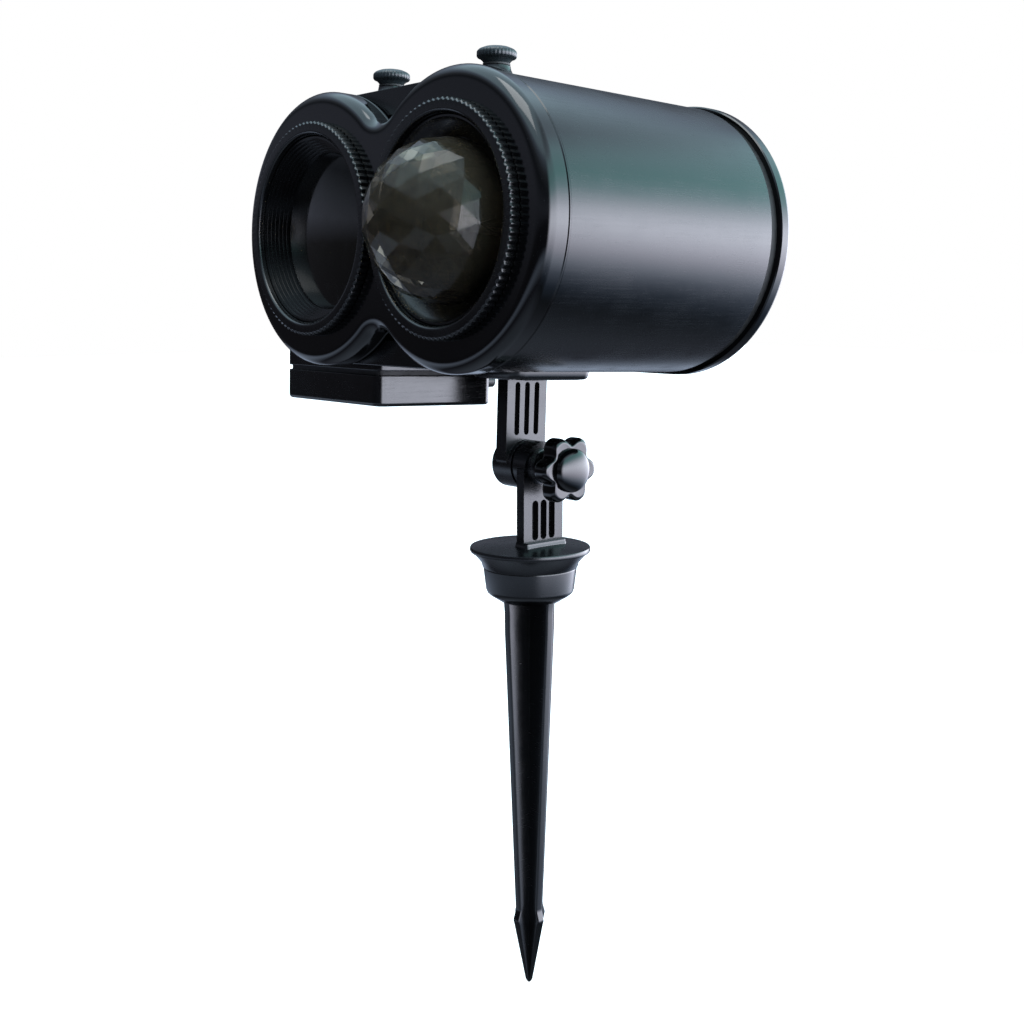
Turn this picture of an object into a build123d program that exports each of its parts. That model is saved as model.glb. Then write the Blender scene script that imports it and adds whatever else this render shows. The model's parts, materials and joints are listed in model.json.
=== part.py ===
from build123d import *
import os
from math import cos, radians, sin

# Garden light projector on a ground stake. Millimetres, +Z up.
# Origin: on the axis of the ground spike, at the soil line under its cup.
# The head looks along -Y; its domed lens is on the +X side, its pattern lens on the -X side.

# ---------------------------------------------------------------- driving dimensions
FLANGE_RADIUS = 25.0        # round plate on top of the spike cup
FLANGE_TOP = 20.0           # height of its rim
SPIKE_DEPTH = 173.7         # soil line to spike tip
HINGE_HEIGHT = 54.8         # tilt bolt above the soil line
REST_TILT = 2.06            # degrees that the head looks up at rest
LENS_HEIGHT = 90.6          # lens line above the tilt bolt, square to the head
LENS_OFFSET = 41.0          # each lens axis from the middle of the head
COVER_RADIUS = 52.0         # front and rear covers, round each lens axis
BARREL_RADIUS = 51.0        # housing, round each lens axis
COVER_FRONT = -78.6         # front face of the front cover, from the tilt bolt
HOUSING_FRONT = -67.0
HOUSING_REAR = 33.5
REAR_COVER_FRONT = 37.7
REAR_COVER_REAR = 43.0
WAIST_FILLET = 12.0         # blend between the two round lobes of the front cover
WALL = 2.5                  # moulded walls
RUNNING_GAP = 0.05          # radial, shafts and bolts in their holes
PARTING_GAP = 0.1           # radial, covers and sleeves that slide into one another
CONTACT_FIT = 0.02          # radial, pieces pressed or glued together

LEFT = -LENS_OFFSET
RIGHT = LENS_OFFSET
CAVITY_RADIUS = BARREL_RADIUS - WALL

# Head frame: origin on the tilt bolt, X across, Y to the rear, Z up, leaning back by REST_TILT.
HEAD = Plane(
    origin=(0, 0, HINGE_HEIGHT),
    x_dir=(1, 0, 0),
    z_dir=(0, sin(radians(REST_TILT)), cos(radians(REST_TILT))),
)


def facing(depth, x=0.0, height=0.0):
    """Plane looking out of the front of the head; height is counted from the lens line."""
    origin = HEAD.from_local_coords((x, depth, LENS_HEIGHT + height))
    return Plane(origin=origin, x_dir=(1, 0, 0), z_dir=-HEAD.y_dir)


def level(height, x=0.0, depth=0.0):
    """Plane looking up out of the head; height is counted from the lens line."""
    origin = HEAD.from_local_coords((x, depth, LENS_HEIGHT + height))
    return Plane(origin=origin, x_dir=(1, 0, 0), z_dir=HEAD.z_dir)


def side(x):
    """Plane across the tilt bolt, looking along +X; sketch x runs to the rear, y up the head."""
    return Plane(origin=HEAD.from_local_coords((x, 0, 0)), x_dir=HEAD.y_dir, z_dir=(1, 0, 0))


def lens_axis(x):
    """Line through the head from front to rear on the lens line."""
    return Axis(HEAD.from_local_coords((x, 0, LENS_HEIGHT)), HEAD.y_dir)


def turned(x, *outline):
    """Revolve an outline of (radius, depth) points about the lens axis at x."""
    with BuildSketch(level(0, x=x)) as profile:
        with BuildLine():
            Polyline(*outline, close=True)
        make_face()
    revolve(profile.sketch, axis=lens_axis(x))


def disc(radius, front, rear, x=0.0, height=0.0, mode=Mode.ADD):
    """Round stretch of the head between two depths."""
    with BuildSketch(facing(front, x=x, height=height)) as outline:
        Circle(radius)
    extrude(outline.sketch, amount=front - rear, mode=mode)


def peanut(radius, front, rear, mode=Mode.ADD):
    """Stretch of the head with two round lobes and a blended waist, grown or shrunk with the radius."""
    with BuildSketch(facing(front)) as outline:
        with Locations((LEFT, 0), (RIGHT, 0)):
            Circle(radius)
        for end in (0, -1):
            waist = outline.vertices().filter_by(lambda corner: abs(corner.X) < 1).sort_by(Axis.Y)
            fillet(waist[end], radius=WAIST_FILLET + COVER_RADIUS - radius)
    extrude(outline.sketch, amount=front - rear, mode=mode)


def stadium(radius, front, rear, mode=Mode.ADD):
    """Stretch of the head with two round ends and flat top and bottom."""
    with BuildSketch(facing(front)) as outline:
        SlotCenterToCenter(2 * LENS_OFFSET, 2 * radius)
    extrude(outline.sketch, amount=front - rear, mode=mode)


os.makedirs("parts", exist_ok=True)

# ---------------------------------------------------------------- stake
CUP_TOP = 12.2
CUP_TOP_RADIUS = 19.5
CUP_FOOT_RADIUS = 18.3
CUP_BEND = 3.0              # height where the wall turns in to the foot
CUP_UNDERSIDE = -2.0
PLUG_RADIUS = 14.0          # spigot under the flange, inside the cup
PLUG_FOOT = 3.5
FIN_THICKNESS = 3.6
FIN_TOP_HALF = 13.5         # half width of the cross fins under the cup
FIN_NECK_HALF = 6.7         # and just above the barb
BARB_HALF = 8.1
BARB_TOP = -139.5
BARB_STEP = 3.5
TIP_HALF = 1.4
SCREW_CORE = 1.5            # radius of the self-tapping screws
SCREW_HEAD_RADIUS = 2.9
SCREW_HEAD_RISE = 1.4
DRIVE_LENGTH = 3.2          # cross slot in a screw head
DRIVE_WIDTH = 0.6
DRIVE_DEPTH = 0.9
SCREW_LINE = 8.0            # height of the spike screw

with BuildPart() as ground_spike:
    with BuildSketch(Plane.XZ):
        with BuildLine():
            Polyline(
                (0, CUP_UNDERSIDE),
                (FIN_TOP_HALF - 1, CUP_UNDERSIDE),
                (CUP_FOOT_RADIUS - 1, CUP_BEND / 2),
                (CUP_FOOT_RADIUS, CUP_BEND),
                (CUP_TOP_RADIUS, CUP_TOP),
                (PLUG_RADIUS + PARTING_GAP, CUP_TOP),
                (PLUG_RADIUS + PARTING_GAP, PLUG_FOOT - PARTING_GAP),
                (0, PLUG_FOOT - PARTING_GAP),
                close=True,
            )
        make_face()
    revolve(axis=Axis.Z)
    for fin_plane in (Plane.XZ, Plane.YZ):
        with BuildSketch(fin_plane):
            with BuildLine():
                Polyline(
                    (0, 0),
                    (FIN_TOP_HALF, 0),
                    (FIN_NECK_HALF, BARB_TOP),
                    (BARB_HALF, BARB_TOP - BARB_STEP),
                    (TIP_HALF, 1 - SPIKE_DEPTH),
                    (0, -SPIKE_DEPTH),
                    close=True,
                )
            make_face()
            mirror(about=Plane.YZ)
        extrude(amount=FIN_THICKNESS / 2, both=True)
    with Locations(Plane(origin=(-CUP_TOP_RADIUS, 0, SCREW_LINE), z_dir=(-1, 0, 0))):
        Hole(SCREW_CORE + CONTACT_FIT, depth=CUP_TOP_RADIUS - PLUG_RADIUS + 1)
ground_spike.part.label = "ground_spike"
export_step(ground_spike.part, "parts/ground_spike.step")

CROWN = 2.6                 # rise of the flange towards its middle
FLANGE_EDGE = 2.2           # thickness of its rim
FLANGE_NECK_RADIUS = 20.8
FLANGE_NECK_DROP = 6.2
PLINTH_TOP = 24.3
PLINTH_WIDTH = 7.6
EYE_RADIUS = 10.1
BOLT_RADIUS = 3.0
LOWER_EYE_START = 0.75      # across the head, from the middle plane between the two eyes
ARM_HALF_WIDTH = 10.6
LOWER_ARM_START = 3.8
LOWER_ARM_END = 8.3
SLOT_DEPTH = 1.6
LOWER_SLOT_MIDDLE = 33.0
LOWER_SLOT_PITCH = 4.4
LOWER_SLOT_WIDTH = 2.9
LOWER_SLOT_LENGTH = 16.0

with BuildPart() as lower_arm:
    with BuildSketch(Plane.XZ):
        with BuildLine():
            crown = ThreePointArc(
                (0, FLANGE_TOP + CROWN),
                (FLANGE_RADIUS / 2, FLANGE_TOP + 0.75 * CROWN),
                (FLANGE_RADIUS - 0.5, FLANGE_TOP),
            )
            Polyline(
                crown @ 1,
                (FLANGE_RADIUS, FLANGE_TOP - 0.6),
                (FLANGE_RADIUS, FLANGE_TOP - FLANGE_EDGE),
                (FLANGE_NECK_RADIUS, FLANGE_TOP - FLANGE_NECK_DROP),
                (FLANGE_NECK_RADIUS - 1, CUP_TOP + PARTING_GAP),
                (PLUG_RADIUS, CUP_TOP + PARTING_GAP),
                (PLUG_RADIUS, PLUG_FOOT),
                (0, PLUG_FOOT),
                (0, FLANGE_TOP + CROWN),
            )
        make_face()
    revolve(axis=Axis.Z)
    with BuildSketch(Plane.XY.offset(FLANGE_TOP)):
        with Locations(((LOWER_ARM_START + LOWER_ARM_END) / 2 + 0.55, 0)):
            Rectangle(PLINTH_WIDTH, 2 * ARM_HALF_WIDTH + 0.6)
    extrude(amount=PLINTH_TOP - FLANGE_TOP)
    with BuildSketch(Plane.YZ.offset(LOWER_ARM_START)):
        with Locations((0, (FLANGE_TOP + HINGE_HEIGHT) / 2)):
            Rectangle(2 * ARM_HALF_WIDTH, HINGE_HEIGHT - FLANGE_TOP)
    extrude(amount=LOWER_ARM_END - LOWER_ARM_START)
    fillet(lower_arm.edges().filter_by(Axis.X).group_by(Axis.Z)[-1], radius=1)
    with BuildSketch(Plane.YZ.offset(LOWER_EYE_START)):
        with Locations((0, HINGE_HEIGHT)):
            Circle(EYE_RADIUS)
    extrude(amount=LOWER_ARM_END - LOWER_EYE_START)
    with BuildSketch(Plane.YZ.offset(LOWER_ARM_END)):
        with Locations((0, LOWER_SLOT_MIDDLE)):
            with GridLocations(LOWER_SLOT_PITCH, 0, 3, 1):
                SlotOverall(LOWER_SLOT_LENGTH, LOWER_SLOT_WIDTH, rotation=90)
    extrude(amount=-SLOT_DEPTH, mode=Mode.SUBTRACT)
    with Locations(Plane(origin=(LOWER_ARM_END, 0, HINGE_HEIGHT), z_dir=(1, 0, 0))):
        Hole(BOLT_RADIUS + RUNNING_GAP)
    with Locations(Plane(origin=(-PLUG_RADIUS, 0, SCREW_LINE), z_dir=(-1, 0, 0))):
        Hole(SCREW_CORE + CONTACT_FIT, depth=6)
lower_arm.part.label = "lower_arm"
export_step(lower_arm.part, "parts/lower_arm.step")

with BuildPart() as spike_screw:
    with BuildSketch(Plane.YZ.offset(-CUP_TOP_RADIUS - SCREW_HEAD_RISE)):
        with Locations((0, SCREW_LINE)):
            Circle(SCREW_HEAD_RADIUS)
    extrude(amount=SCREW_HEAD_RISE + 0.2)
    fillet(spike_screw.faces().sort_by(Axis.X)[0].edges(), radius=0.7)
    with BuildSketch(Plane.YZ.offset(-CUP_TOP_RADIUS)):
        with Locations((0, SCREW_LINE)):
            Circle(SCREW_CORE)
    extrude(amount=CUP_TOP_RADIUS - PLUG_RADIUS + 5)
    with BuildSketch(Plane.YZ.offset(-CUP_TOP_RADIUS - SCREW_HEAD_RISE)):
        with Locations((0, SCREW_LINE)):
            Rectangle(DRIVE_LENGTH, DRIVE_WIDTH)
            Rectangle(DRIVE_WIDTH, DRIVE_LENGTH)
    extrude(amount=DRIVE_DEPTH, mode=Mode.SUBTRACT)
spike_screw.part.label = "spike_screw"
export_step(spike_screw.part, "parts/spike_screw.step")

# ---------------------------------------------------------------- tilting arm and its knob
UPPER_EYE_START = -12.5
UPPER_EYE_END = -0.75
UPPER_ARM_START = -9.5
UPPER_ARM_END = -3.1
SADDLE_TOP = -BARREL_RADIUS             # from the lens line: touches the flat of the housing
SADDLE_THICKNESS = 4.0
SADDLE_WIDTH = 30.0
SADDLE_LENGTH = 42.0
SADDLE_CORNER = 5.0
SADDLE_BEHIND = -1.0                    # middle of the saddle, behind the bolt
SADDLE_LIP = 1.2                        # straight part of its edge
SADDLE_TAPER = 50                       # degrees
SADDLE_POCKET = 2.4                     # depth under the top where the screw heads sit
SADDLE_SCREWS = GridLocations(21, 33, 2, 2).locations
UPPER_SLOT_MIDDLE = 22.6
UPPER_SLOT_PITCH = 5.2
UPPER_SLOT_WIDTH = 2.4
UPPER_SLOT_LENGTH = 21.0
HEX_DEPTH = 4.3
HEX_CORNER = 5.7                        # bolt head, middle to corner

with BuildPart() as upper_arm:
    with BuildSketch(side(UPPER_EYE_START)):
        Circle(EYE_RADIUS)
    extrude(amount=UPPER_EYE_END - UPPER_EYE_START)
    with BuildSketch(side(UPPER_ARM_START)):
        with Locations((0, (LENS_HEIGHT + SADDLE_TOP) / 2)):
            Rectangle(2 * ARM_HALF_WIDTH, LENS_HEIGHT + SADDLE_TOP)
    extrude(amount=UPPER_ARM_END - UPPER_ARM_START)
    with BuildSketch(side(UPPER_ARM_END)):
        with Locations((0, UPPER_SLOT_MIDDLE)):
            with GridLocations(UPPER_SLOT_PITCH, 0, 3, 1):
                SlotOverall(UPPER_SLOT_LENGTH, UPPER_SLOT_WIDTH, rotation=90)
    extrude(amount=-SLOT_DEPTH, mode=Mode.SUBTRACT)
    with BuildSketch(level(SADDLE_TOP, depth=SADDLE_BEHIND)):
        RectangleRounded(SADDLE_WIDTH, SADDLE_LENGTH, SADDLE_CORNER)
    extrude(amount=-SADDLE_LIP)
    with BuildSketch(level(SADDLE_TOP - SADDLE_LIP, depth=SADDLE_BEHIND)):
        RectangleRounded(SADDLE_WIDTH, SADDLE_LENGTH, SADDLE_CORNER)
    extrude(amount=SADDLE_LIP - SADDLE_THICKNESS, taper=SADDLE_TAPER)
    with Locations(side(UPPER_EYE_START)):
        Hole(BOLT_RADIUS + CONTACT_FIT, depth=-(UPPER_EYE_START - UPPER_EYE_END) * 2)
    with BuildSketch(side(UPPER_EYE_START)):
        RegularPolygon(HEX_CORNER + 0.15, 6)
    extrude(amount=HEX_DEPTH, mode=Mode.SUBTRACT)
    with BuildSketch(level(SADDLE_TOP, depth=SADDLE_BEHIND)):
        with Locations(SADDLE_SCREWS):
            Circle(SCREW_CORE + CONTACT_FIT)
    extrude(amount=-SADDLE_THICKNESS, mode=Mode.SUBTRACT)
    with BuildSketch(level(SADDLE_TOP - SADDLE_POCKET, depth=SADDLE_BEHIND)):
        with Locations(SADDLE_SCREWS):
            Circle(3.2)
    extrude(amount=-2, mode=Mode.SUBTRACT)
upper_arm.part.label = "upper_arm"
export_step(upper_arm.part, "parts/upper_arm.step")

with BuildPart() as saddle_screws:
    with BuildSketch(level(SADDLE_TOP - SADDLE_POCKET, depth=SADDLE_BEHIND)):
        with Locations(SADDLE_SCREWS):
            Circle(3.0)
    extrude(amount=-1.6)
    with BuildSketch(level(SADDLE_TOP - SADDLE_POCKET, depth=SADDLE_BEHIND)):
        with Locations(SADDLE_SCREWS):
            Circle(SCREW_CORE)
    extrude(amount=9)
saddle_screws.part.label = "saddle_screws"
export_step(saddle_screws.part, "parts/saddle_screws.step")

BOLT_END = 24.0
with BuildPart() as tilt_bolt:
    with BuildSketch(side(UPPER_EYE_START + 0.2)):
        RegularPolygon(HEX_CORNER, 6)
    extrude(amount=HEX_DEPTH - 0.2)
    with BuildSketch(side(UPPER_EYE_START + 0.2)):
        Circle(BOLT_RADIUS)
    extrude(amount=BOLT_END - UPPER_EYE_START - 0.2)
    chamfer(tilt_bolt.faces().sort_by(Axis.X)[-1].edges(), length=0.6)
tilt_bolt.part.label = "tilt_bolt"
export_step(tilt_bolt.part, "parts/tilt_bolt.step")

with BuildPart() as friction_washer:
    with BuildSketch(side(UPPER_EYE_END)):
        Circle(EYE_RADIUS - 0.8)
        Circle(BOLT_RADIUS + RUNNING_GAP, mode=Mode.SUBTRACT)
    extrude(amount=LOWER_EYE_START - UPPER_EYE_END)
friction_washer.part.label = "friction_washer"
export_step(friction_washer.part, "parts/friction_washer.step")

WASHER_RADIUS = 7.5
WASHER_THICKNESS = 1.2
KNOB_START = LOWER_ARM_END + WASHER_THICKNESS
KNOB_NECK_RADIUS = 7.0
STAR_START = 17.0
STAR_END = 24.8
HUB_RADIUS = 8.8
HUB_END = 29.0
STAR_CORE = 11.2
LOBE_CIRCLE = 9.7
LOBE_RADIUS = 4.3
INSERT_RADIUS = 5.0
INSERT_END = 21.0

with BuildPart() as flat_washer:
    with BuildSketch(side(LOWER_ARM_END)):
        Circle(WASHER_RADIUS)
        Circle(BOLT_RADIUS + RUNNING_GAP, mode=Mode.SUBTRACT)
    extrude(amount=WASHER_THICKNESS)
flat_washer.part.label = "flat_washer"
export_step(flat_washer.part, "parts/flat_washer.step")

with BuildPart() as star_knob:
    with BuildSketch(side(KNOB_START)):
        Circle(KNOB_NECK_RADIUS)
    extrude(amount=STAR_START - KNOB_START)
    with BuildSketch(side(STAR_START)):
        Circle(STAR_CORE)
        with PolarLocations(LOBE_CIRCLE, 6):
            Circle(LOBE_RADIUS)
    extrude(amount=STAR_END - STAR_START)
    fillet(star_knob.faces().sort_by(Axis.X)[-1].edges(), radius=1.6)
    with BuildSketch(side(STAR_END - 1)):
        Circle(HUB_RADIUS)
    extrude(amount=HUB_END - STAR_END + 1)
    fillet(star_knob.faces().sort_by(Axis.X)[-1].edges(), radius=3)
    with BuildSketch(side(KNOB_START)):
        Circle(INSERT_RADIUS + CONTACT_FIT)
    extrude(amount=INSERT_END - KNOB_START, mode=Mode.SUBTRACT)
    with BuildSketch(side(INSERT_END)):
        Circle(BOLT_RADIUS + RUNNING_GAP)
    extrude(amount=BOLT_END + 1 - INSERT_END, mode=Mode.SUBTRACT)
star_knob.part.label = "star_knob"
export_step(star_knob.part, "parts/star_knob.step")

with BuildPart() as knob_insert:
    with BuildSketch(side(KNOB_START)):
        Circle(INSERT_RADIUS)
        Circle(BOLT_RADIUS + RUNNING_GAP, mode=Mode.SUBTRACT)
    extrude(amount=INSERT_END - KNOB_START)
knob_insert.part.label = "knob_insert"
export_step(knob_insert.part, "parts/knob_insert.step")

# ---------------------------------------------------------------- main housing
THUMB_DEPTH = -57.0                     # both thumb screws stand on the nose of the housing
THUMB_SPOTS = {"left": -21.4, "right": LENS_OFFSET}
THUMB_LUG_TOPS = {"left": 40.5, "right": 46.8}
LUG_SIZE = 9.0
LUG_DROP = 7.0
BOSS_TOP = 54.0
BOSS_FOOT_RADIUS = 6.4
BOSS_FLARE = 20                         # degrees
STUD_RADIUS = 2.0
POST_REACH = 30.6                       # screw posts, sideways and up from each lens axis
POST_RADIUS = 5.6
POST_FRONT = -27.5
POST_REAR = 29.9
POST_SPOTS = [
    (across * (LENS_OFFSET + POST_REACH), up * POST_REACH) for across in (-1, 1) for up in (-1, 1)
]
BOX_MIDDLE = (-54.9, -33.1)             # control box, across and behind the tilt bolt
BOX_WIDTH = 69.0
BOX_LENGTH = 57.8
BOX_CORNER = 4.0
BOX_WALL = 2.4
SKIRT_BOTTOM = -53.3
SKIRT_TOP = -16.0
BOX_SCREWS = GridLocations(BOX_WIDTH - 8.8, BOX_LENGTH - 8.8, 2, 2).locations
BOX_POST_RADIUS = 3.2
SPIGOT_RADIUS = CAVITY_RADIUS - 1.2
BOX_LEVEL = {"x": BOX_MIDDLE[0], "depth": BOX_MIDDLE[1]}

with BuildPart() as main_housing:
    with BuildSketch(level(SKIRT_BOTTOM, **BOX_LEVEL)):
        RectangleRounded(BOX_WIDTH, BOX_LENGTH, BOX_CORNER)
    extrude(amount=SKIRT_TOP - SKIRT_BOTTOM)
    with BuildSketch(level(SKIRT_BOTTOM, **BOX_LEVEL)):
        RectangleRounded(BOX_WIDTH - 2 * BOX_WALL, BOX_LENGTH - 2 * BOX_WALL, BOX_CORNER - 1)
    extrude(amount=SKIRT_TOP - SKIRT_BOTTOM - 1, mode=Mode.SUBTRACT)
    with BuildSketch(level(SKIRT_BOTTOM, **BOX_LEVEL)):
        with Locations(BOX_SCREWS):
            Circle(BOX_POST_RADIUS)
    extrude(amount=11)
    stadium(BARREL_RADIUS, HOUSING_FRONT, HOUSING_REAR)
    for spot in THUMB_SPOTS.values():
        with BuildSketch(level(BARREL_RADIUS - 1, x=spot, depth=THUMB_DEPTH)):
            Circle(BOSS_FOOT_RADIUS)
        extrude(amount=BOSS_TOP - BARREL_RADIUS + 1, taper=BOSS_FLARE)
    stadium(CAVITY_RADIUS, HOUSING_FRONT + WALL, HOUSING_REAR, mode=Mode.SUBTRACT)
    peanut(SPIGOT_RADIUS + PARTING_GAP, HOUSING_FRONT, HOUSING_FRONT + WALL, mode=Mode.SUBTRACT)
    with BuildSketch(facing(POST_FRONT)):
        with Locations(POST_SPOTS):
            Circle(POST_RADIUS)
    extrude(amount=POST_FRONT - POST_REAR)
    with BuildSketch(level(SADDLE_TOP + 1, depth=SADDLE_BEHIND)):
        with Locations(SADDLE_SCREWS):
            Circle(4)
    extrude(amount=7)
    with BuildSketch(facing(POST_FRONT)):
        with Locations(POST_SPOTS):
            Circle(SCREW_CORE + CONTACT_FIT)
    extrude(amount=POST_FRONT - POST_REAR, mode=Mode.SUBTRACT)
    with BuildSketch(level(SADDLE_TOP, depth=SADDLE_BEHIND)):
        with Locations(SADDLE_SCREWS):
            Circle(SCREW_CORE + CONTACT_FIT)
    extrude(amount=7, mode=Mode.SUBTRACT)
    with BuildSketch(level(SKIRT_BOTTOM, **BOX_LEVEL)):
        with Locations(BOX_SCREWS):
            Circle(SCREW_CORE + CONTACT_FIT)
    extrude(amount=7, mode=Mode.SUBTRACT)
    for spot in THUMB_SPOTS.values():
        with BuildSketch(level(BOSS_TOP, x=spot, depth=THUMB_DEPTH)):
            Circle(STUD_RADIUS + PARTING_GAP)
        extrude(amount=-8, mode=Mode.SUBTRACT)
    with BuildSketch(level(-BARREL_RADIUS, x=BOX_MIDDLE[0], depth=BOX_MIDDLE[1])):
        Circle(4)
    extrude(amount=6, mode=Mode.SUBTRACT)
main_housing.part.label = "main_housing"
export_step(main_housing.part, "parts/main_housing.step")

# ---------------------------------------------------------------- front cover and its seal
COVER_BEND = 5.0                        # rounding of its front edge
SPIGOT_REAR = -53.0
PLATE_REAR = COVER_FRONT + 3
COVER_REAR = HOUSING_FRONT - 0.6
SLEEVE_RADIUS = 36.8                    # turning rings, in the openings of the front cover
SLEEVE_BORE = 35.3
TUNNEL_REAR = -66.0

with BuildPart() as front_cover:
    peanut(COVER_RADIUS, COVER_FRONT, COVER_REAR)
    fillet(front_cover.faces().sort_by(lens_axis(0))[0].outer_wire().edges(), radius=COVER_BEND)
    peanut(COVER_RADIUS - WALL, PLATE_REAR, COVER_REAR, mode=Mode.SUBTRACT)
    peanut(SPIGOT_RADIUS, PLATE_REAR, SPIGOT_REAR)
    peanut(SPIGOT_RADIUS - 2, PLATE_REAR, SPIGOT_REAR, mode=Mode.SUBTRACT)
    for x in (LEFT, RIGHT):
        disc(SLEEVE_RADIUS + WALL, PLATE_REAR, TUNNEL_REAR, x=x)
        disc(SLEEVE_RADIUS + PARTING_GAP, COVER_FRONT, TUNNEL_REAR, x=x, mode=Mode.SUBTRACT)
    for name, spot in THUMB_SPOTS.items():
        with BuildSketch(facing(THUMB_DEPTH - LUG_SIZE / 2, x=spot, height=THUMB_LUG_TOPS[name])):
            with Locations((0, -LUG_DROP / 2)):
                Rectangle(LUG_SIZE, LUG_DROP)
        extrude(amount=-(SPIGOT_REAR - THUMB_DEPTH + LUG_SIZE / 2))
        with BuildSketch(level(SPIGOT_RADIUS, x=spot, depth=THUMB_DEPTH)):
            Circle(STUD_RADIUS + RUNNING_GAP)
        extrude(amount=-16, mode=Mode.SUBTRACT)
front_cover.part.label = "front_cover"
export_step(front_cover.part, "parts/front_cover.step")

with BuildPart() as front_gasket:
    peanut(BARREL_RADIUS - 0.3, COVER_REAR, HOUSING_FRONT)
    peanut(SPIGOT_RADIUS + PARTING_GAP, COVER_REAR, HOUSING_FRONT, mode=Mode.SUBTRACT)
front_gasket.part.label = "front_gasket"
export_step(front_gasket.part, "parts/front_gasket.step")

# ---------------------------------------------------------------- rear cover
NECK_RADIUS = CAVITY_RADIUS - PARTING_GAP
NECK_FRONT = 31.0

with BuildPart() as rear_cover:
    stadium(COVER_RADIUS, REAR_COVER_FRONT, REAR_COVER_REAR)
    fillet(rear_cover.faces().sort_by(lens_axis(0))[-1].outer_wire().edges(), radius=1.6)
    stadium(NECK_RADIUS, NECK_FRONT, REAR_COVER_FRONT)
    stadium(NECK_RADIUS - WALL, NECK_FRONT, REAR_COVER_REAR - 3, mode=Mode.SUBTRACT)
    with BuildSketch(facing(POST_REAR + PARTING_GAP)):
        with Locations(POST_SPOTS):
            Circle(POST_RADIUS - 0.8)
    extrude(amount=POST_REAR + PARTING_GAP - REAR_COVER_REAR + 3)
    with BuildSketch(facing(POST_REAR)):
        with Locations(POST_SPOTS):
            Circle(SCREW_CORE + CONTACT_FIT)
    extrude(amount=POST_REAR - REAR_COVER_REAR, mode=Mode.SUBTRACT)
    with BuildSketch(facing(REAR_COVER_REAR - 2)):
        with Locations(POST_SPOTS):
            Circle(3.2)
    extrude(amount=-2, mode=Mode.SUBTRACT)
rear_cover.part.label = "rear_cover"
export_step(rear_cover.part, "parts/rear_cover.step")

with BuildPart() as rear_gasket:
    stadium(CAVITY_RADIUS + 1.1, HOUSING_REAR, REAR_COVER_FRONT)
    stadium(CAVITY_RADIUS, HOUSING_REAR, REAR_COVER_FRONT, mode=Mode.SUBTRACT)
rear_gasket.part.label = "rear_gasket"
export_step(rear_gasket.part, "parts/rear_gasket.step")

with BuildPart() as rear_cover_screws:
    with BuildSketch(facing(REAR_COVER_REAR - 2)):
        with Locations(POST_SPOTS):
            Circle(2.9)
    extrude(amount=-1.7)
    with BuildSketch(facing(REAR_COVER_REAR - 2)):
        with Locations(POST_SPOTS):
            Circle(SCREW_CORE)
    extrude(amount=22)
    with BuildSketch(facing(REAR_COVER_REAR - 0.3)):
        with Locations(POST_SPOTS):
            Rectangle(3.4, 0.7)
            Rectangle(0.7, 3.4)
    extrude(amount=1, mode=Mode.SUBTRACT)
rear_cover_screws.part.label = "rear_cover_screws"
export_step(rear_cover_screws.part, "parts/rear_cover_screws.step")

# ---------------------------------------------------------------- thumb screws on the nose
SEAL_THICKNESS = 0.6
CAP_BOTTOM = BOSS_TOP + SEAL_THICKNESS
CAP_TOP = 60.6
CAP_RADIUS = 7.0
CAP_FLUTES = 24
FLUTE_RADIUS = 0.7

for name, spot in THUMB_SPOTS.items():
    with BuildPart() as thumb_seal:
        with BuildSketch(level(BOSS_TOP, x=spot, depth=THUMB_DEPTH)):
            Circle(4.8)
            Circle(STUD_RADIUS + RUNNING_GAP, mode=Mode.SUBTRACT)
        extrude(amount=SEAL_THICKNESS)
    thumb_seal.part.label = f"{name}_thumb_seal"
    export_step(thumb_seal.part, f"parts/{name}_thumb_seal.step")

    with BuildPart() as thumb_cap:
        with BuildSketch(level(CAP_BOTTOM, x=spot, depth=THUMB_DEPTH)):
            Circle(CAP_RADIUS)
            with PolarLocations(CAP_RADIUS + 0.4, CAP_FLUTES):
                Circle(FLUTE_RADIUS, mode=Mode.SUBTRACT)
        extrude(amount=CAP_TOP - CAP_BOTTOM)
        with BuildSketch(level(CAP_BOTTOM, x=spot, depth=THUMB_DEPTH)):
            Circle(STUD_RADIUS + CONTACT_FIT)
        extrude(amount=4, mode=Mode.SUBTRACT)
    thumb_cap.part.label = f"{name}_thumb_cap"
    export_step(thumb_cap.part, f"parts/{name}_thumb_cap.step")

    with BuildPart() as thumb_stud:
        with BuildSketch(level(CAP_BOTTOM + 3.9, x=spot, depth=THUMB_DEPTH)):
            Circle(STUD_RADIUS)
        extrude(amount=THUMB_LUG_TOPS[name] - LUG_DROP + 1.5 - CAP_BOTTOM - 3.9)
        chamfer(thumb_stud.edges().filter_by(GeomType.CIRCLE).sort_by(Axis.Z)[0], length=0.5)
    thumb_stud.part.label = f"{name}_thumb_stud"
    export_step(thumb_stud.part, f"parts/{name}_thumb_stud.step")

# ---------------------------------------------------------------- turning rings, lens cell and dome
RING_RADIUS = 40.4
RING_FRONT = COVER_FRONT - 4.2
RING_RIDGES = 96
RIDGE_RADIUS = 0.8
CELL_FRONT = -80.5
CELL_REAR = -62.0
CELL_RADIUS = SLEEVE_BORE - PARTING_GAP
LENS_RADIUS = 30.9
LENS_EDGE_FRONT = -71.1
LENS_EDGE_REAR = -67.5
LENS_BULGE = 3.6
DOME_RADIUS = 28.0
DOME_WALL = 2.5
DOME_FOOT = -72.4
FOOT_THICKNESS = 2.0

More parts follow.
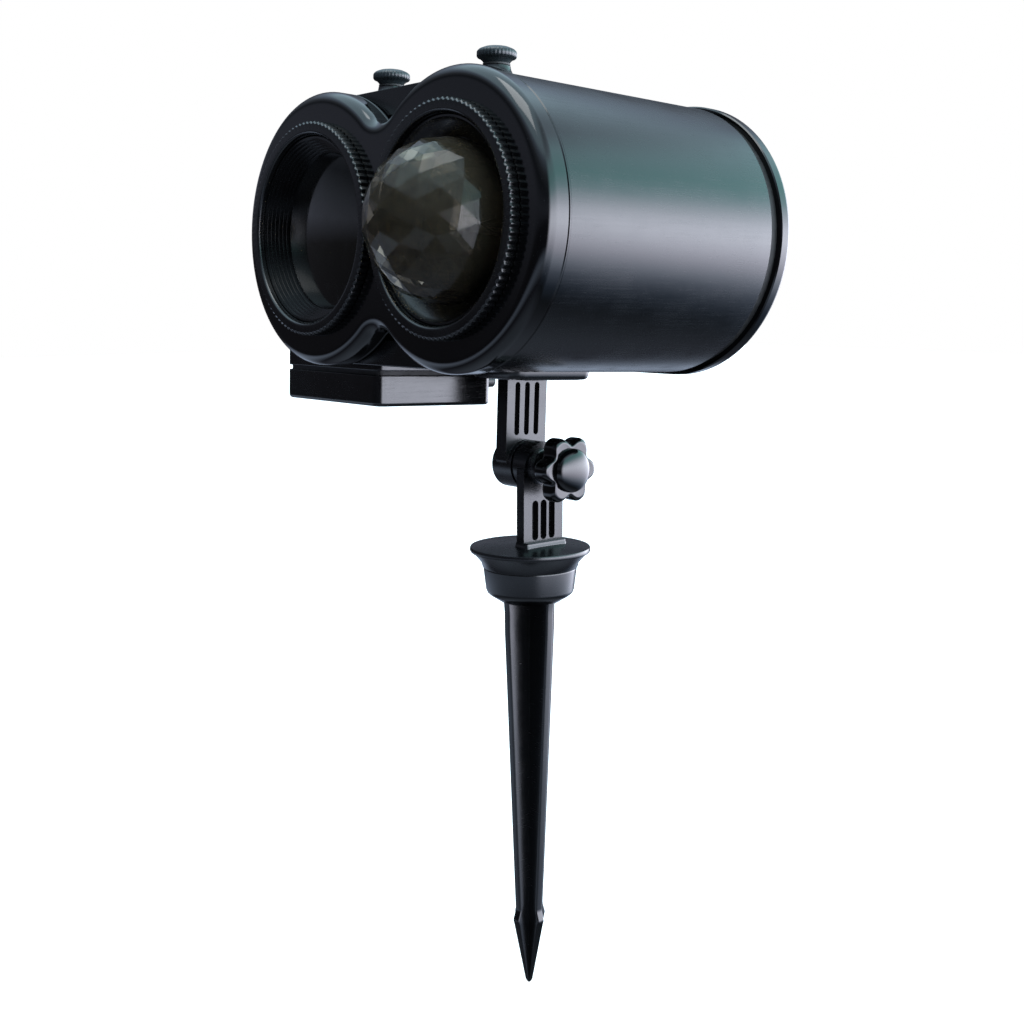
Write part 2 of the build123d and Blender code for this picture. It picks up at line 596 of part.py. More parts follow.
for name, x in {"focus_ring": LEFT, "dome_ring": RIGHT}.items():
    with BuildPart() as ring:
        with BuildSketch(facing(RING_FRONT, x=x)):
            Circle(RING_RADIUS)
            with PolarLocations(RING_RADIUS + 0.2, RING_RIDGES):
                Circle(RIDGE_RADIUS, mode=Mode.SUBTRACT)
        extrude(amount=RING_FRONT - COVER_FRONT)
        disc(SLEEVE_RADIUS, COVER_FRONT, TUNNEL_REAR, x=x)
        disc(SLEEVE_BORE, RING_FRONT, TUNNEL_REAR, x=x, mode=Mode.SUBTRACT)
        chamfer(ring.faces().sort_by(lens_axis(x))[0].inner_wires().edges(), length=1)
    ring.part.label = name
    export_step(ring.part, f"parts/{name}.step")

with BuildPart() as lens_cell:
    turned(
        LEFT,
        (CELL_RADIUS - 1, CELL_FRONT),
        (CELL_RADIUS, CELL_FRONT),
        (CELL_RADIUS, CELL_REAR),
        (LENS_RADIUS + CONTACT_FIT, CELL_REAR),
        (LENS_RADIUS + CONTACT_FIT, LENS_EDGE_FRONT),
        (LENS_RADIUS - 1.6, LENS_EDGE_FRONT),
    )
lens_cell.part.label = "lens_cell"
export_step(lens_cell.part, "parts/lens_cell.step")

with BuildPart() as projection_lens:
    with BuildSketch(level(0, x=LEFT)):
        with BuildLine():
            Line((LENS_RADIUS, LENS_EDGE_FRONT), (LENS_RADIUS, LENS_EDGE_REAR))
            Line((LENS_RADIUS, LENS_EDGE_REAR), (0, LENS_EDGE_REAR))
            Line((0, LENS_EDGE_REAR), (0, LENS_EDGE_FRONT - LENS_BULGE))
            Spline(
                (0, LENS_EDGE_FRONT - LENS_BULGE),
                (LENS_RADIUS - 2, LENS_EDGE_FRONT),
                tangents=[(1, 0), (1, 0.24)],
            )
            Line((LENS_RADIUS - 2, LENS_EDGE_FRONT), (LENS_RADIUS, LENS_EDGE_FRONT))
        make_face()
    revolve(axis=lens_axis(LEFT))
projection_lens.part.label = "projection_lens"
export_step(projection_lens.part, "parts/projection_lens.step")

with BuildPart() as lens_retainer:
    disc(LENS_RADIUS - CONTACT_FIT, LENS_EDGE_REAR, LENS_EDGE_REAR + 2.2, x=LEFT)
    disc(LENS_RADIUS - 3, LENS_EDGE_REAR, LENS_EDGE_REAR + 2.2, x=LEFT, mode=Mode.SUBTRACT)
lens_retainer.part.label = "lens_retainer"
export_step(lens_retainer.part, "parts/lens_retainer.step")

with BuildPart() as dome_seat:
    turned(
        RIGHT,
        (CELL_RADIUS - 1, CELL_FRONT),
        (CELL_RADIUS, CELL_FRONT),
        (CELL_RADIUS, DOME_FOOT + 4),
        (DOME_RADIUS + 3 + CONTACT_FIT, DOME_FOOT + 4),
        (DOME_RADIUS + 3 + CONTACT_FIT, DOME_FOOT - FOOT_THICKNESS),
        (DOME_RADIUS + PARTING_GAP, DOME_FOOT - FOOT_THICKNESS),
        (DOME_RADIUS + PARTING_GAP, DOME_FOOT - FOOT_THICKNESS - 1),
    )
dome_seat.part.label = "dome_seat"
export_step(dome_seat.part, "parts/dome_seat.step")

with BuildPart() as wave_dome:
    with BuildSketch(level(0, x=RIGHT)):
        with BuildLine():
            CenterArc((0, COVER_FRONT), DOME_RADIUS, -90, 90)
            Line((DOME_RADIUS, COVER_FRONT), (DOME_RADIUS, DOME_FOOT))
            Line((DOME_RADIUS, DOME_FOOT), (0, DOME_FOOT))
            Line((0, DOME_FOOT), (0, COVER_FRONT - DOME_RADIUS))
        make_face()
        with BuildLine():
            CenterArc((0, COVER_FRONT), DOME_RADIUS - DOME_WALL, -90, 90)
            Line((DOME_RADIUS - DOME_WALL, COVER_FRONT), (DOME_RADIUS - DOME_WALL, DOME_FOOT))
            Line((DOME_RADIUS - DOME_WALL, DOME_FOOT), (0, DOME_FOOT))
            Line((0, DOME_FOOT), (0, COVER_FRONT - DOME_RADIUS + DOME_WALL))
        make_face(mode=Mode.SUBTRACT)
        with Locations((DOME_RADIUS + 1.5, DOME_FOOT - FOOT_THICKNESS / 2)):
            Rectangle(3, FOOT_THICKNESS)
    revolve(axis=lens_axis(RIGHT))
wave_dome.part.label = "wave_dome"
export_step(wave_dome.part, "parts/wave_dome.step")

with BuildPart() as dome_retainer:
    disc(DOME_RADIUS + 3 - CONTACT_FIT, DOME_FOOT, DOME_FOOT + 2, x=RIGHT)
    disc(DOME_RADIUS - DOME_WALL, DOME_FOOT, DOME_FOOT + 2, x=RIGHT, mode=Mode.SUBTRACT)
dome_retainer.part.label = "dome_retainer"
export_step(dome_retainer.part, "parts/dome_retainer.step")

# ---------------------------------------------------------------- optics inside the housing
CHASSIS_FRONT = -30.0
CHASSIS_REAR = POST_FRONT
MOTOR_OFFSET = 19.0                     # each motor shaft from the middle of the head
SHAFT_RADIUS = 1.5
MOTOR_RADIUS = 8.0
MOTOR_REAR = -9.5
BUSH_RADIUS = 3.1
WHEEL_RADIUS = 30.0
WHEEL_FRONT = -40.0
SLIDE_CIRCLE = LENS_OFFSET - MOTOR_OFFSET
SLIDE_RADIUS = 6.2
SLIDE_COUNT = 8
WAVE_FRONT = -57.0
WINDOW_RADIUS = 8.5
MOTOR_SCREW = 5.6                       # each motor screw above or below its shaft
MOTOR_SCREW_CORE = 1.0
HUB_CAP_RADIUS = 4.5                    # hubs of the pattern wheel and the wave disc
WHEEL_THICKNESS = 1.5
SLIDE_THICKNESS = 1.1
WAVE_THICKNESS = 2.0
CONDENSER_RADIUS = 11.0
LED_BOARD_RADIUS = 10.0
EMITTER_RADIUS = 3.0
SINK_WIDTH = 26.0
SINK_HEIGHT = 34.0
SINK_BASE = 3.0
FIN_PITCH = 4.1
FIN_WIDTH = 1.3
FIN_LENGTH = 17.0
EMITTER_FRONT = -29.4
SINK_SCREW = 14.4
SINK_FRONT = -25.9
HOLDER_FRONT = -36.0
HOLDER_RADIUS = 13.0

with BuildPart() as optics_chassis:
    peanut(SPIGOT_RADIUS - 0.4, CHASSIS_FRONT, CHASSIS_REAR)
    with BuildSketch(facing(CHASSIS_FRONT)):
        with Locations((LEFT, 0), (RIGHT, 0)):
            Circle(WINDOW_RADIUS)
        with Locations((-MOTOR_OFFSET, 0), (MOTOR_OFFSET, 0)):
            Circle(BUSH_RADIUS + CONTACT_FIT)
            with Locations((0, -MOTOR_SCREW), (0, MOTOR_SCREW)):
                Circle(MOTOR_SCREW_CORE + PARTING_GAP)
        with Locations(POST_SPOTS):
            Circle(SCREW_CORE + CONTACT_FIT)
        with Locations([(x, y) for x in (LEFT, RIGHT) for y in (-SINK_SCREW, SINK_SCREW)]):
            Circle(SCREW_CORE + CONTACT_FIT)
    extrude(amount=CHASSIS_FRONT - CHASSIS_REAR, mode=Mode.SUBTRACT)
optics_chassis.part.label = "optics_chassis"
export_step(optics_chassis.part, "parts/optics_chassis.step")

with BuildPart() as chassis_screws:
    with BuildSketch(facing(CHASSIS_FRONT)):
        with Locations(POST_SPOTS):
            Circle(2.9)
    extrude(amount=1.8)
    with BuildSketch(facing(CHASSIS_FRONT)):
        with Locations(POST_SPOTS):
            Circle(SCREW_CORE)
    extrude(amount=-14)
chassis_screws.part.label = "chassis_screws"
export_step(chassis_screws.part, "parts/chassis_screws.step")

for name, x in {"pattern": -MOTOR_OFFSET, "wave": MOTOR_OFFSET}.items():
    with BuildPart() as motor:
        disc(MOTOR_RADIUS, CHASSIS_REAR, MOTOR_REAR, x=x)
        disc(BUSH_RADIUS, CHASSIS_FRONT, CHASSIS_REAR, x=x)
        disc(SHAFT_RADIUS + RUNNING_GAP, CHASSIS_FRONT, -12, x=x, mode=Mode.SUBTRACT)
        with BuildSketch(facing(CHASSIS_REAR, x=x)):
            with Locations((0, -MOTOR_SCREW), (0, MOTOR_SCREW)):
                Circle(MOTOR_SCREW_CORE + CONTACT_FIT)
        extrude(amount=-4, mode=Mode.SUBTRACT)
        with BuildSketch(facing(MOTOR_REAR, x=x)):
            with Locations((-4, 0), (4, 0)):
                Rectangle(2, 0.5)
        extrude(amount=-3)
    motor.part.label = f"{name}_motor"
    export_step(motor.part, f"parts/{name}_motor.step")

with BuildPart() as motor_screws:
    motor_screw_spots = [(x, y) for x in (-MOTOR_OFFSET, MOTOR_OFFSET) for y in (-MOTOR_SCREW, MOTOR_SCREW)]
    with BuildSketch(facing(CHASSIS_FRONT)):
        with Locations(motor_screw_spots):
            Circle(1.9)
    extrude(amount=1.2)
    with BuildSketch(facing(CHASSIS_FRONT)):
        with Locations(motor_screw_spots):
            Circle(MOTOR_SCREW_CORE)
    extrude(amount=-6)
motor_screws.part.label = "motor_screws"
export_step(motor_screws.part, "parts/motor_screws.step")

with BuildPart() as pattern_shaft:
    disc(SHAFT_RADIUS, WHEEL_FRONT - 2.2, -13, x=-MOTOR_OFFSET)
pattern_shaft.part.label = "pattern_shaft"
export_step(pattern_shaft.part, "parts/pattern_shaft.step")

with BuildPart() as wave_shaft:
    disc(SHAFT_RADIUS, WAVE_FRONT - 1.2, -13, x=MOTOR_OFFSET)
wave_shaft.part.label = "wave_shaft"
export_step(wave_shaft.part, "parts/wave_shaft.step")

with BuildPart() as pattern_wheel:
    disc(WHEEL_RADIUS, WHEEL_FRONT, WHEEL_FRONT + WHEEL_THICKNESS, x=-MOTOR_OFFSET)
    disc(HUB_CAP_RADIUS, WHEEL_FRONT - 2, WHEEL_FRONT + 4, x=-MOTOR_OFFSET)
    disc(SHAFT_RADIUS + CONTACT_FIT, WHEEL_FRONT - 2, WHEEL_FRONT + 4, x=-MOTOR_OFFSET, mode=Mode.SUBTRACT)
    with BuildSketch(facing(WHEEL_FRONT, x=-MOTOR_OFFSET)):
        with PolarLocations(SLIDE_CIRCLE, SLIDE_COUNT):
            Circle(SLIDE_RADIUS)
    extrude(amount=-WHEEL_THICKNESS, mode=Mode.SUBTRACT)
pattern_wheel.part.label = "pattern_wheel"
export_step(pattern_wheel.part, "parts/pattern_wheel.step")

with BuildPart() as pattern_slides:
    with BuildSketch(facing(WHEEL_FRONT + 0.2, x=-MOTOR_OFFSET)):
        with PolarLocations(SLIDE_CIRCLE, SLIDE_COUNT):
            Circle(SLIDE_RADIUS - CONTACT_FIT)
    extrude(amount=-SLIDE_THICKNESS)
pattern_slides.part.label = "pattern_slides"
export_step(pattern_slides.part, "parts/pattern_slides.step")

with BuildPart() as wave_disc:
    disc(WHEEL_RADIUS, WAVE_FRONT, WAVE_FRONT + WAVE_THICKNESS, x=MOTOR_OFFSET)
    disc(HUB_CAP_RADIUS, WAVE_FRONT - 1, WAVE_FRONT + 4, x=MOTOR_OFFSET)
    disc(SHAFT_RADIUS + CONTACT_FIT, WAVE_FRONT - 1, WAVE_FRONT + 4, x=MOTOR_OFFSET, mode=Mode.SUBTRACT)
wave_disc.part.label = "wave_disc"
export_step(wave_disc.part, "parts/wave_disc.step")

for name, x in {"pattern": LEFT, "wave": RIGHT}.items():
    with BuildPart() as lens_holder:
        disc(HOLDER_RADIUS, HOLDER_FRONT, CHASSIS_FRONT, x=x)
        disc(CONDENSER_RADIUS + CONTACT_FIT, HOLDER_FRONT, CHASSIS_FRONT - 1, x=x, mode=Mode.SUBTRACT)
        disc(WINDOW_RADIUS, CHASSIS_FRONT - 1, CHASSIS_FRONT, x=x, mode=Mode.SUBTRACT)
        with BuildSketch(facing(CHASSIS_FRONT - 1.9, x=x)):
            with Locations((0, -SINK_SCREW), (0, SINK_SCREW)):
                Circle(3.0)
        extrude(amount=-1.9, mode=Mode.SUBTRACT)
    lens_holder.part.label = f"{name}_lens_holder"
    export_step(lens_holder.part, f"parts/{name}_lens_holder.step")

    with BuildPart() as condenser:
        with BuildSketch(level(0, x=x)):
            with BuildLine():
                Line((0, CHASSIS_FRONT - 1), (CONDENSER_RADIUS, CHASSIS_FRONT - 1))
                edge = Line((CONDENSER_RADIUS, CHASSIS_FRONT - 1), (CONDENSER_RADIUS, CHASSIS_FRONT - 2.2))
                Spline(edge @ 1, (0, HOLDER_FRONT + 0.6), tangents=[(-0.6, -0.8), (-1, 0)])
                Line((0, HOLDER_FRONT + 0.6), (0, CHASSIS_FRONT - 1))
            make_face()
        revolve(axis=lens_axis(x))
    condenser.part.label = f"{name}_condenser"
    export_step(condenser.part, f"parts/{name}_condenser.step")

    with BuildPart() as led_board:
        disc(LED_BOARD_RADIUS, SINK_FRONT - 1.4, SINK_FRONT, x=x)
        disc(EMITTER_RADIUS, EMITTER_FRONT, SINK_FRONT, x=x)
    led_board.part.label = f"{name}_led_board"
    export_step(led_board.part, f"parts/{name}_led_board.step")

    with BuildPart() as heat_sink:
        with BuildSketch(facing(SINK_FRONT, x=x)):
            Rectangle(SINK_WIDTH, SINK_HEIGHT)
        extrude(amount=-SINK_BASE)
        with BuildSketch(facing(SINK_FRONT + SINK_BASE, x=x)):
            with GridLocations(FIN_PITCH, 0, 7, 1):
                Rectangle(FIN_WIDTH, SINK_HEIGHT)
        extrude(amount=-FIN_LENGTH)
        with BuildSketch(facing(CHASSIS_REAR, x=x)):
            with Locations((0, -SINK_SCREW), (0, SINK_SCREW)):
                Circle(2.8)
        extrude(amount=CHASSIS_REAR - SINK_FRONT)
        with BuildSketch(facing(CHASSIS_REAR, x=x)):
            with Locations((0, -SINK_SCREW), (0, SINK_SCREW)):
                Circle(SCREW_CORE + CONTACT_FIT)
        extrude(amount=-8, mode=Mode.SUBTRACT)
    heat_sink.part.label = f"{name}_heat_sink"
    export_step(heat_sink.part, f"parts/{name}_heat_sink.step")

with BuildPart() as heat_sink_screws:
    sink_screw_spots = [(x, y) for x in (LEFT, RIGHT) for y in (-SINK_SCREW, SINK_SCREW)]
    with BuildSketch(facing(CHASSIS_FRONT)):
        with Locations(sink_screw_spots):
            Circle(2.8)
    extrude(amount=1.8)
    with BuildSketch(facing(CHASSIS_FRONT)):
        with Locations(sink_screw_spots):
            Circle(SCREW_CORE)
    extrude(amount=-9)
heat_sink_screws.part.label = "heat_sink_screws"
export_step(heat_sink_screws.part, "parts/heat_sink_screws.step")

# ---------------------------------------------------------------- control box under the pattern lens
BOX_SEAM = 1.8                          # open groove between skirt and box
BOX_TOP = SKIRT_BOTTOM - BOX_SEAM
BOX_SCREW_LENGTH = 19.0
BOX_SCREW_HEAD = 2.5
BOX_BOTTOM = -67.3
FLOOR = BOX_BOTTOM + 2.2
BOARD_BOTTOM = FLOOR + 2.1
BOARD_TOP = BOARD_BOTTOM + 1.6
CABLE_LEVEL = -60.4
CABLE_X = -76.0
CABLE_LINE = {"x": CABLE_X, "height": CABLE_LEVEL}
BOX_REAR = BOX_MIDDLE[1] + BOX_LENGTH / 2
CABLE_RADIUS = 2.4
CABLE_START = BOX_REAR - 8
GLAND_REAR = BOX_REAR + 10
CABLE_REAR = 16.0
PLUG_BODY_REAR = 32.0
PLUG_REAR = 41.5
PLUG_PIN_RADIUS = 2.75
PLUG_BODY_RADIUS = 5.4
PLUG_NECK_RADIUS = 4.2
PLUG_NECK_LENGTH = 5.0
PIN_HOLE_RADIUS = 1.05
PIN_HOLE_DEPTH = 9.0
GLAND_CORNER = 5.8
GLAND_HEX_LENGTH = 3.5
GLAND_NOSE_RADIUS = 4.6
BOARD_WIDTH = 50.0
BOARD_LENGTH = 40.0
STANDOFFS = GridLocations(42, 32, 2, 2).locations
GLAND_THREAD = 3.4

with BuildPart() as control_box:
    with BuildSketch(level(BOX_BOTTOM, **BOX_LEVEL)):
        RectangleRounded(BOX_WIDTH, BOX_LENGTH, BOX_CORNER)
    extrude(amount=BOX_TOP - BOX_BOTTOM)
    fillet(control_box.faces().sort_by(Axis.Z)[0].edges(), radius=1.4)
    with BuildSketch(level(FLOOR, **BOX_LEVEL)):
        RectangleRounded(BOX_WIDTH - 2 * BOX_WALL, BOX_LENGTH - 2 * BOX_WALL, BOX_CORNER - 1)
    extrude(amount=BOX_TOP - FLOOR, mode=Mode.SUBTRACT)
    with BuildSketch(level(BOX_BOTTOM + 1, **BOX_LEVEL)):
        with Locations(BOX_SCREWS):
            Circle(BOX_POST_RADIUS)
    extrude(amount=BOX_TOP - BOX_BOTTOM - 1)
    with BuildSketch(level(FLOOR - 0.5, **BOX_LEVEL)):
        with Locations(STANDOFFS):
            Circle(2)
    extrude(amount=BOARD_BOTTOM - FLOOR + 0.5)
    with BuildSketch(level(BOX_BOTTOM, **BOX_LEVEL)):
        with Locations(BOX_SCREWS):
            Circle(SCREW_CORE + CONTACT_FIT)
    extrude(amount=BOX_TOP - BOX_BOTTOM, mode=Mode.SUBTRACT)
    with BuildSketch(level(BOX_BOTTOM, **BOX_LEVEL)):
        with Locations(BOX_SCREWS):
            Circle(BOX_SCREW_HEAD + 0.1)
    extrude(amount=1.8, mode=Mode.SUBTRACT)
    disc(GLAND_THREAD + CONTACT_FIT, BOX_REAR - 5, BOX_REAR, **CABLE_LINE, mode=Mode.SUBTRACT)
control_box.part.label = "control_box"
export_step(control_box.part, "parts/control_box.step")

with BuildPart() as box_gasket:
    with BuildSketch(level(BOX_TOP, **BOX_LEVEL)):
        gasket = RectangleRounded(BOX_WIDTH - BOX_WALL, BOX_LENGTH - BOX_WALL, BOX_CORNER - 1)
        offset(gasket, -BOX_WALL / 2, mode=Mode.SUBTRACT)
    extrude(amount=SKIRT_BOTTOM - BOX_TOP)
box_gasket.part.label = "box_gasket"
export_step(box_gasket.part, "parts/box_gasket.step")

with BuildPart() as box_screws:
    with BuildSketch(level(BOX_BOTTOM + 0.2, **BOX_LEVEL)):
        with Locations(BOX_SCREWS):
            Circle(BOX_SCREW_HEAD)
    extrude(amount=1.6)
    with BuildSketch(level(BOX_BOTTOM + 0.2, **BOX_LEVEL)):
        with Locations(BOX_SCREWS):
            Circle(SCREW_CORE)
    extrude(amount=BOX_SCREW_LENGTH)
    with BuildSketch(level(BOX_BOTTOM + 0.2, **BOX_LEVEL)):
        with Locations(BOX_SCREWS):
            Rectangle(3, 0.6)
            Rectangle(0.6, 3)
    extrude(amount=0.9, mode=Mode.SUBTRACT)
box_screws.part.label = "box_screws"
export_step(box_screws.part, "parts/box_screws.step")

with BuildPart() as driver_board:
    with BuildSketch(level(BOARD_BOTTOM, **BOX_LEVEL)):
        Rectangle(BOARD_WIDTH, BOARD_LENGTH)
    extrude(amount=BOARD_TOP - BOARD_BOTTOM)
driver_board.part.label = "driver_board"
export_step(driver_board.part, "parts/driver_board.step")

with BuildPart() as board_components:
    with BuildSketch(level(BOARD_TOP, **BOX_LEVEL)):
        with Locations((-14, 8), (-14, -4)):
            Circle(4)
    extrude(amount=6.5)
    with BuildSketch(level(BOARD_TOP, **BOX_LEVEL)):
        with Locations((2, 8), (2, -8)):
            Rectangle(8, 8)
    extrude(amount=4)
    with BuildSketch(level(BOARD_TOP, **BOX_LEVEL)):
        with Locations((15, 6)):
            Rectangle(7, 9)
        with Locations((15, -9)):
            Rectangle(9, 5)
    extrude(amount=2)
board_components.part.label = "board_components"
export_step(board_components.part, "parts/board_components.step")

with BuildPart() as cable_gland:
    disc(GLAND_THREAD, BOX_REAR - BOX_WALL - 1.5, BOX_REAR, **CABLE_LINE)
    with BuildSketch(facing(BOX_REAR, **CABLE_LINE)):
        RegularPolygon(GLAND_CORNER, 6)
    extrude(amount=-GLAND_HEX_LENGTH)
    disc(GLAND_NOSE_RADIUS, BOX_REAR + GLAND_HEX_LENGTH, GLAND_REAR, **CABLE_LINE)
    disc(CABLE_RADIUS + CONTACT_FIT, CABLE_START, GLAND_REAR, **CABLE_LINE, mode=Mode.SUBTRACT)
cable_gland.part.label = "cable_gland"
export_step(cable_gland.part, "parts/cable_gland.step")

with BuildPart() as power_cable:
    disc(CABLE_RADIUS, CABLE_START, CABLE_REAR, **CABLE_LINE)
power_cable.part.label = "power_cable"
export_step(power_cable.part, "parts/power_cable.step")

with BuildPart() as power_plug:
    disc(PLUG_NECK_RADIUS, CABLE_REAR, CABLE_REAR + PLUG_NECK_LENGTH, **CABLE_LINE)
    disc(PLUG_BODY_RADIUS, CABLE_REAR + PLUG_NECK_LENGTH, PLUG_BODY_REAR, **CABLE_LINE)
    disc(PLUG_PIN_RADIUS, PLUG_BODY_REAR, PLUG_REAR, **CABLE_LINE)
    disc(PIN_HOLE_RADIUS, PLUG_REAR - PIN_HOLE_DEPTH, PLUG_REAR, **CABLE_LINE, mode=Mode.SUBTRACT)
power_plug.part.label = "power_plug"
export_step(power_plug.part, "parts/power_plug.step")
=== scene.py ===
import json
from math import asin, atan2, cos, pi, radians, sin, sqrt

import bmesh
import bpy
from mathutils import Matrix, Vector


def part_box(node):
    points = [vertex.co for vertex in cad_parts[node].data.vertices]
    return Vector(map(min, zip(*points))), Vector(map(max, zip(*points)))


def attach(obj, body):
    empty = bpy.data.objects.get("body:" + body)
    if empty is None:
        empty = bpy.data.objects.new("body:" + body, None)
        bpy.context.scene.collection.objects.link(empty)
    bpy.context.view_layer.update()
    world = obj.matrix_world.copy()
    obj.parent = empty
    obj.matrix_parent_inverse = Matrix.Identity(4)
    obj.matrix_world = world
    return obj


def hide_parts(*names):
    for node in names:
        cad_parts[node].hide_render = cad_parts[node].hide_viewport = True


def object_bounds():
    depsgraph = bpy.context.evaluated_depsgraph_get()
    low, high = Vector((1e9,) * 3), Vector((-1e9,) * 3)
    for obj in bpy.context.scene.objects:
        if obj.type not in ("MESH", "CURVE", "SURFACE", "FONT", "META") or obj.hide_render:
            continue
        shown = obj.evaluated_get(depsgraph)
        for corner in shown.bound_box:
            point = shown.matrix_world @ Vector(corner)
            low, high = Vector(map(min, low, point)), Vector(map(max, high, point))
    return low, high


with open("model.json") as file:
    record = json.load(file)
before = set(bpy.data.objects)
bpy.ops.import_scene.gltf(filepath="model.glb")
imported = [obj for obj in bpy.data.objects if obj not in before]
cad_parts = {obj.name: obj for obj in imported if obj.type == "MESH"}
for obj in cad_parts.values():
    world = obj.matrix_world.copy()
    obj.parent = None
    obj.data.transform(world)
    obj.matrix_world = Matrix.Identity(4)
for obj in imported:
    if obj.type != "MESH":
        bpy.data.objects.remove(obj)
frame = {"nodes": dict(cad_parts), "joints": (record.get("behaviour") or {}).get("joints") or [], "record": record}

# Light projector on a garden stake. The frame is in metres; every piece is built in millimetres in
# a local place (stake, head, facing, deck or bolt) whose origin and axes come from the frame.

CAD_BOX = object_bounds()
SCENE = bpy.context.scene
MM = 0.001
TAU = 2 * pi

# -------------------------------- places taken from the frame
JOINTS = {joint["name"]: joint for joint in frame["joints"]}
HINGE = Vector(JOINTS["head_tilt"]["pos_m"])
ACROSS = Vector((1, 0, 0))
REAR = Vector(JOINTS["focus_turn"]["axis"]).normalized()
UP = ACROSS.cross(REAR)


def local_place(origin, x_axis, y_axis, z_axis):
    """Local millimetres to scene metres."""
    turn = Matrix((x_axis, y_axis, z_axis)).transposed().to_4x4()
    return Matrix.Translation(origin) @ turn @ Matrix.Scale(MM, 4)


def shifted(place, x=0.0, y=0.0, z=0.0):
    """A place moved by millimetres along its own axes."""
    return place @ Matrix.Translation((x, y, z))


def four_corners(place, x, y):
    """Copies of a place at the corners of a rectangle of half width x and half length y."""
    return [shifted(place, x=right * x, y=up * y) for right in (-1, 1) for up in (-1, 1)]


STAKE = Matrix.Scale(MM, 4)  # x, y, height over the soil line
STAKE_RIGHT = local_place(Vector(), Vector((0, 1, 0)), Vector((0, 0, 1)), ACROSS)  # y, height, x
STAKE_LEFT = local_place(Vector(), Vector((0, 1, 0)), Vector((0, 0, 1)), -ACROSS)  # y, height, -x
HEAD = local_place(HINGE, ACROSS, REAR, UP)  # x, depth, height over the tilt bolt
BOLT = local_place(HINGE, REAR, UP, ACROSS)  # depth, height, x


def head_point(point):
    """Scene metres to head millimetres."""
    return HEAD.inverted() @ Vector(point)


def head_box(node):
    """Lowest and highest corner of a CAD node in head millimetres."""
    corners = [head_point(vertex.co) for vertex in frame["nodes"][node].data.vertices]
    low = Vector([min(corner[axis] for corner in corners) for axis in range(3)])
    high = Vector([max(corner[axis] for corner in corners) for axis in range(3)])
    return low, high


LENS_HEIGHT = head_point(JOINTS["focus_turn"]["pos_m"]).z
LEFT = head_point(JOINTS["focus_turn"]["pos_m"]).x
RIGHT = head_point(JOINTS["dome_ring_turn"]["pos_m"]).x
LENS_LINE = HEAD @ Vector((0, 0, LENS_HEIGHT))
FACING = local_place(LENS_LINE, ACROSS, UP, REAR)  # x, height over the lens line, depth
DECK = local_place(LENS_LINE, ACROSS, REAR, UP)  # x, depth, height over the lens line


def deck_over(node):
    """Deck place on the upright line through the middle of a CAD node."""
    low, high = head_box(node)
    return shifted(DECK, x=(low.x + high.x) / 2, y=(low.y + high.y) / 2)


# -------------------------------- outlines
def arc(centre, radius, start, end, steps):
    """Points along an arc, both ends included."""
    angles = [start + (end - start) * step / steps for step in range(steps + 1)]
    return [(centre[0] + radius * cos(a), centre[1] + radius * sin(a)) for a in angles]


def circle(count=128):
    """Round outline, as a function of its radius."""
    angles = [TAU * step / count for step in range(count)]
    return lambda radius: [(radius * cos(a), radius * sin(a)) for a in angles]


def ridged(count, depth, inside, steps=8, power=1.0):
    """Round outline with ridges on its rim, as a function of its radius; plain up to inside."""
    def points(radius):
        outline = []
        for step in range(count * steps):
            angle = TAU * step / (count * steps)
            valley = (0.5 - 0.5 * cos(count * angle)) ** power
            share = min(1.0, max(0.0, (radius - inside) / depth))
            along = radius - depth * valley * share
            outline.append((along * cos(angle), along * sin(angle)))
        return outline
    return points


REAR_COVER = head_box("rear_cover")
COVER_RADIUS = REAR_COVER[1].x - RIGHT
WAIST_BLEND = 12.0  # of the waist, at the covers' own radius


def peanut(radius):
    """Two round lobes with a blended waist, grown or shrunk with the radius."""
    bend = WAIST_BLEND + COVER_RADIUS - radius
    rise = sqrt((COVER_RADIUS + WAIST_BLEND) ** 2 - RIGHT ** 2)
    slope = atan2(rise, RIGHT)
    return (
        arc((RIGHT, 0), radius, slope - pi, pi - slope, 96)
        + arc((0, rise), bend, -slope, slope - pi, 16)[1:-1]
        + arc((LEFT, 0), radius, slope, TAU - slope, 96)
        + arc((0, -rise), bend, pi - slope, slope, 16)[1:-1]
    )


def stadium(radius):
    """Two round ends with flat top and bottom."""
    flat = [(RIGHT * (1 - step / 8), radius) for step in range(1, 16)]
    return (
        arc((RIGHT, 0), radius, -pi / 2, pi / 2, 72)
        + flat
        + arc((LEFT, 0), radius, pi / 2, 1.5 * pi, 72)
        + [(-x, -y) for x, y in flat]
    )


def rounded_rectangle(width, length, corner, steps=8):
    """Rectangle with round corners, as a function of how far it grows on every side."""
    def points(grow=0.0):
        half_width = width / 2 + grow
        half_length = length / 2 + grow
        bend = max(corner + grow, 0.1)
        outline = []
        for quarter, (right, up) in enumerate(((1, 1), (-1, 1), (-1, -1), (1, -1))):
            centre = (right * (half_width - bend), up * (half_length - bend))
            outline += arc(centre, bend, quarter * pi / 2, (quarter + 1) * pi / 2, steps)
        return outline
    return points


def upright_slot(width, length, x, y):
    """Slot outline with round ends, long side up."""
    radius = width / 2
    reach = length / 2 - radius
    return arc((x, y + reach), radius, 0, pi, 10) + arc((x, y - reach), radius, pi, TAU, 10)


def cross(half_width, thickness):
    """Plus-shaped outline of four fins with rounded tips."""
    thin = min(thickness, 0.9 * half_width) / 2
    bend = 0.55 * thin
    corner = arc((thin - bend, half_width - bend), bend, 0, pi / 2, 3)
    fin = [(thin, thin), (thin, half_width - bend), *corner[1:], *((-x, y) for x, y in corner[::-1])]
    outline = []
    for quarter in range(4):
        c, s = cos(quarter * pi / 2), sin(quarter * pi / 2)
        outline += [(x * c - y * s, x * s + y * c) for x, y in fin]
    return outline


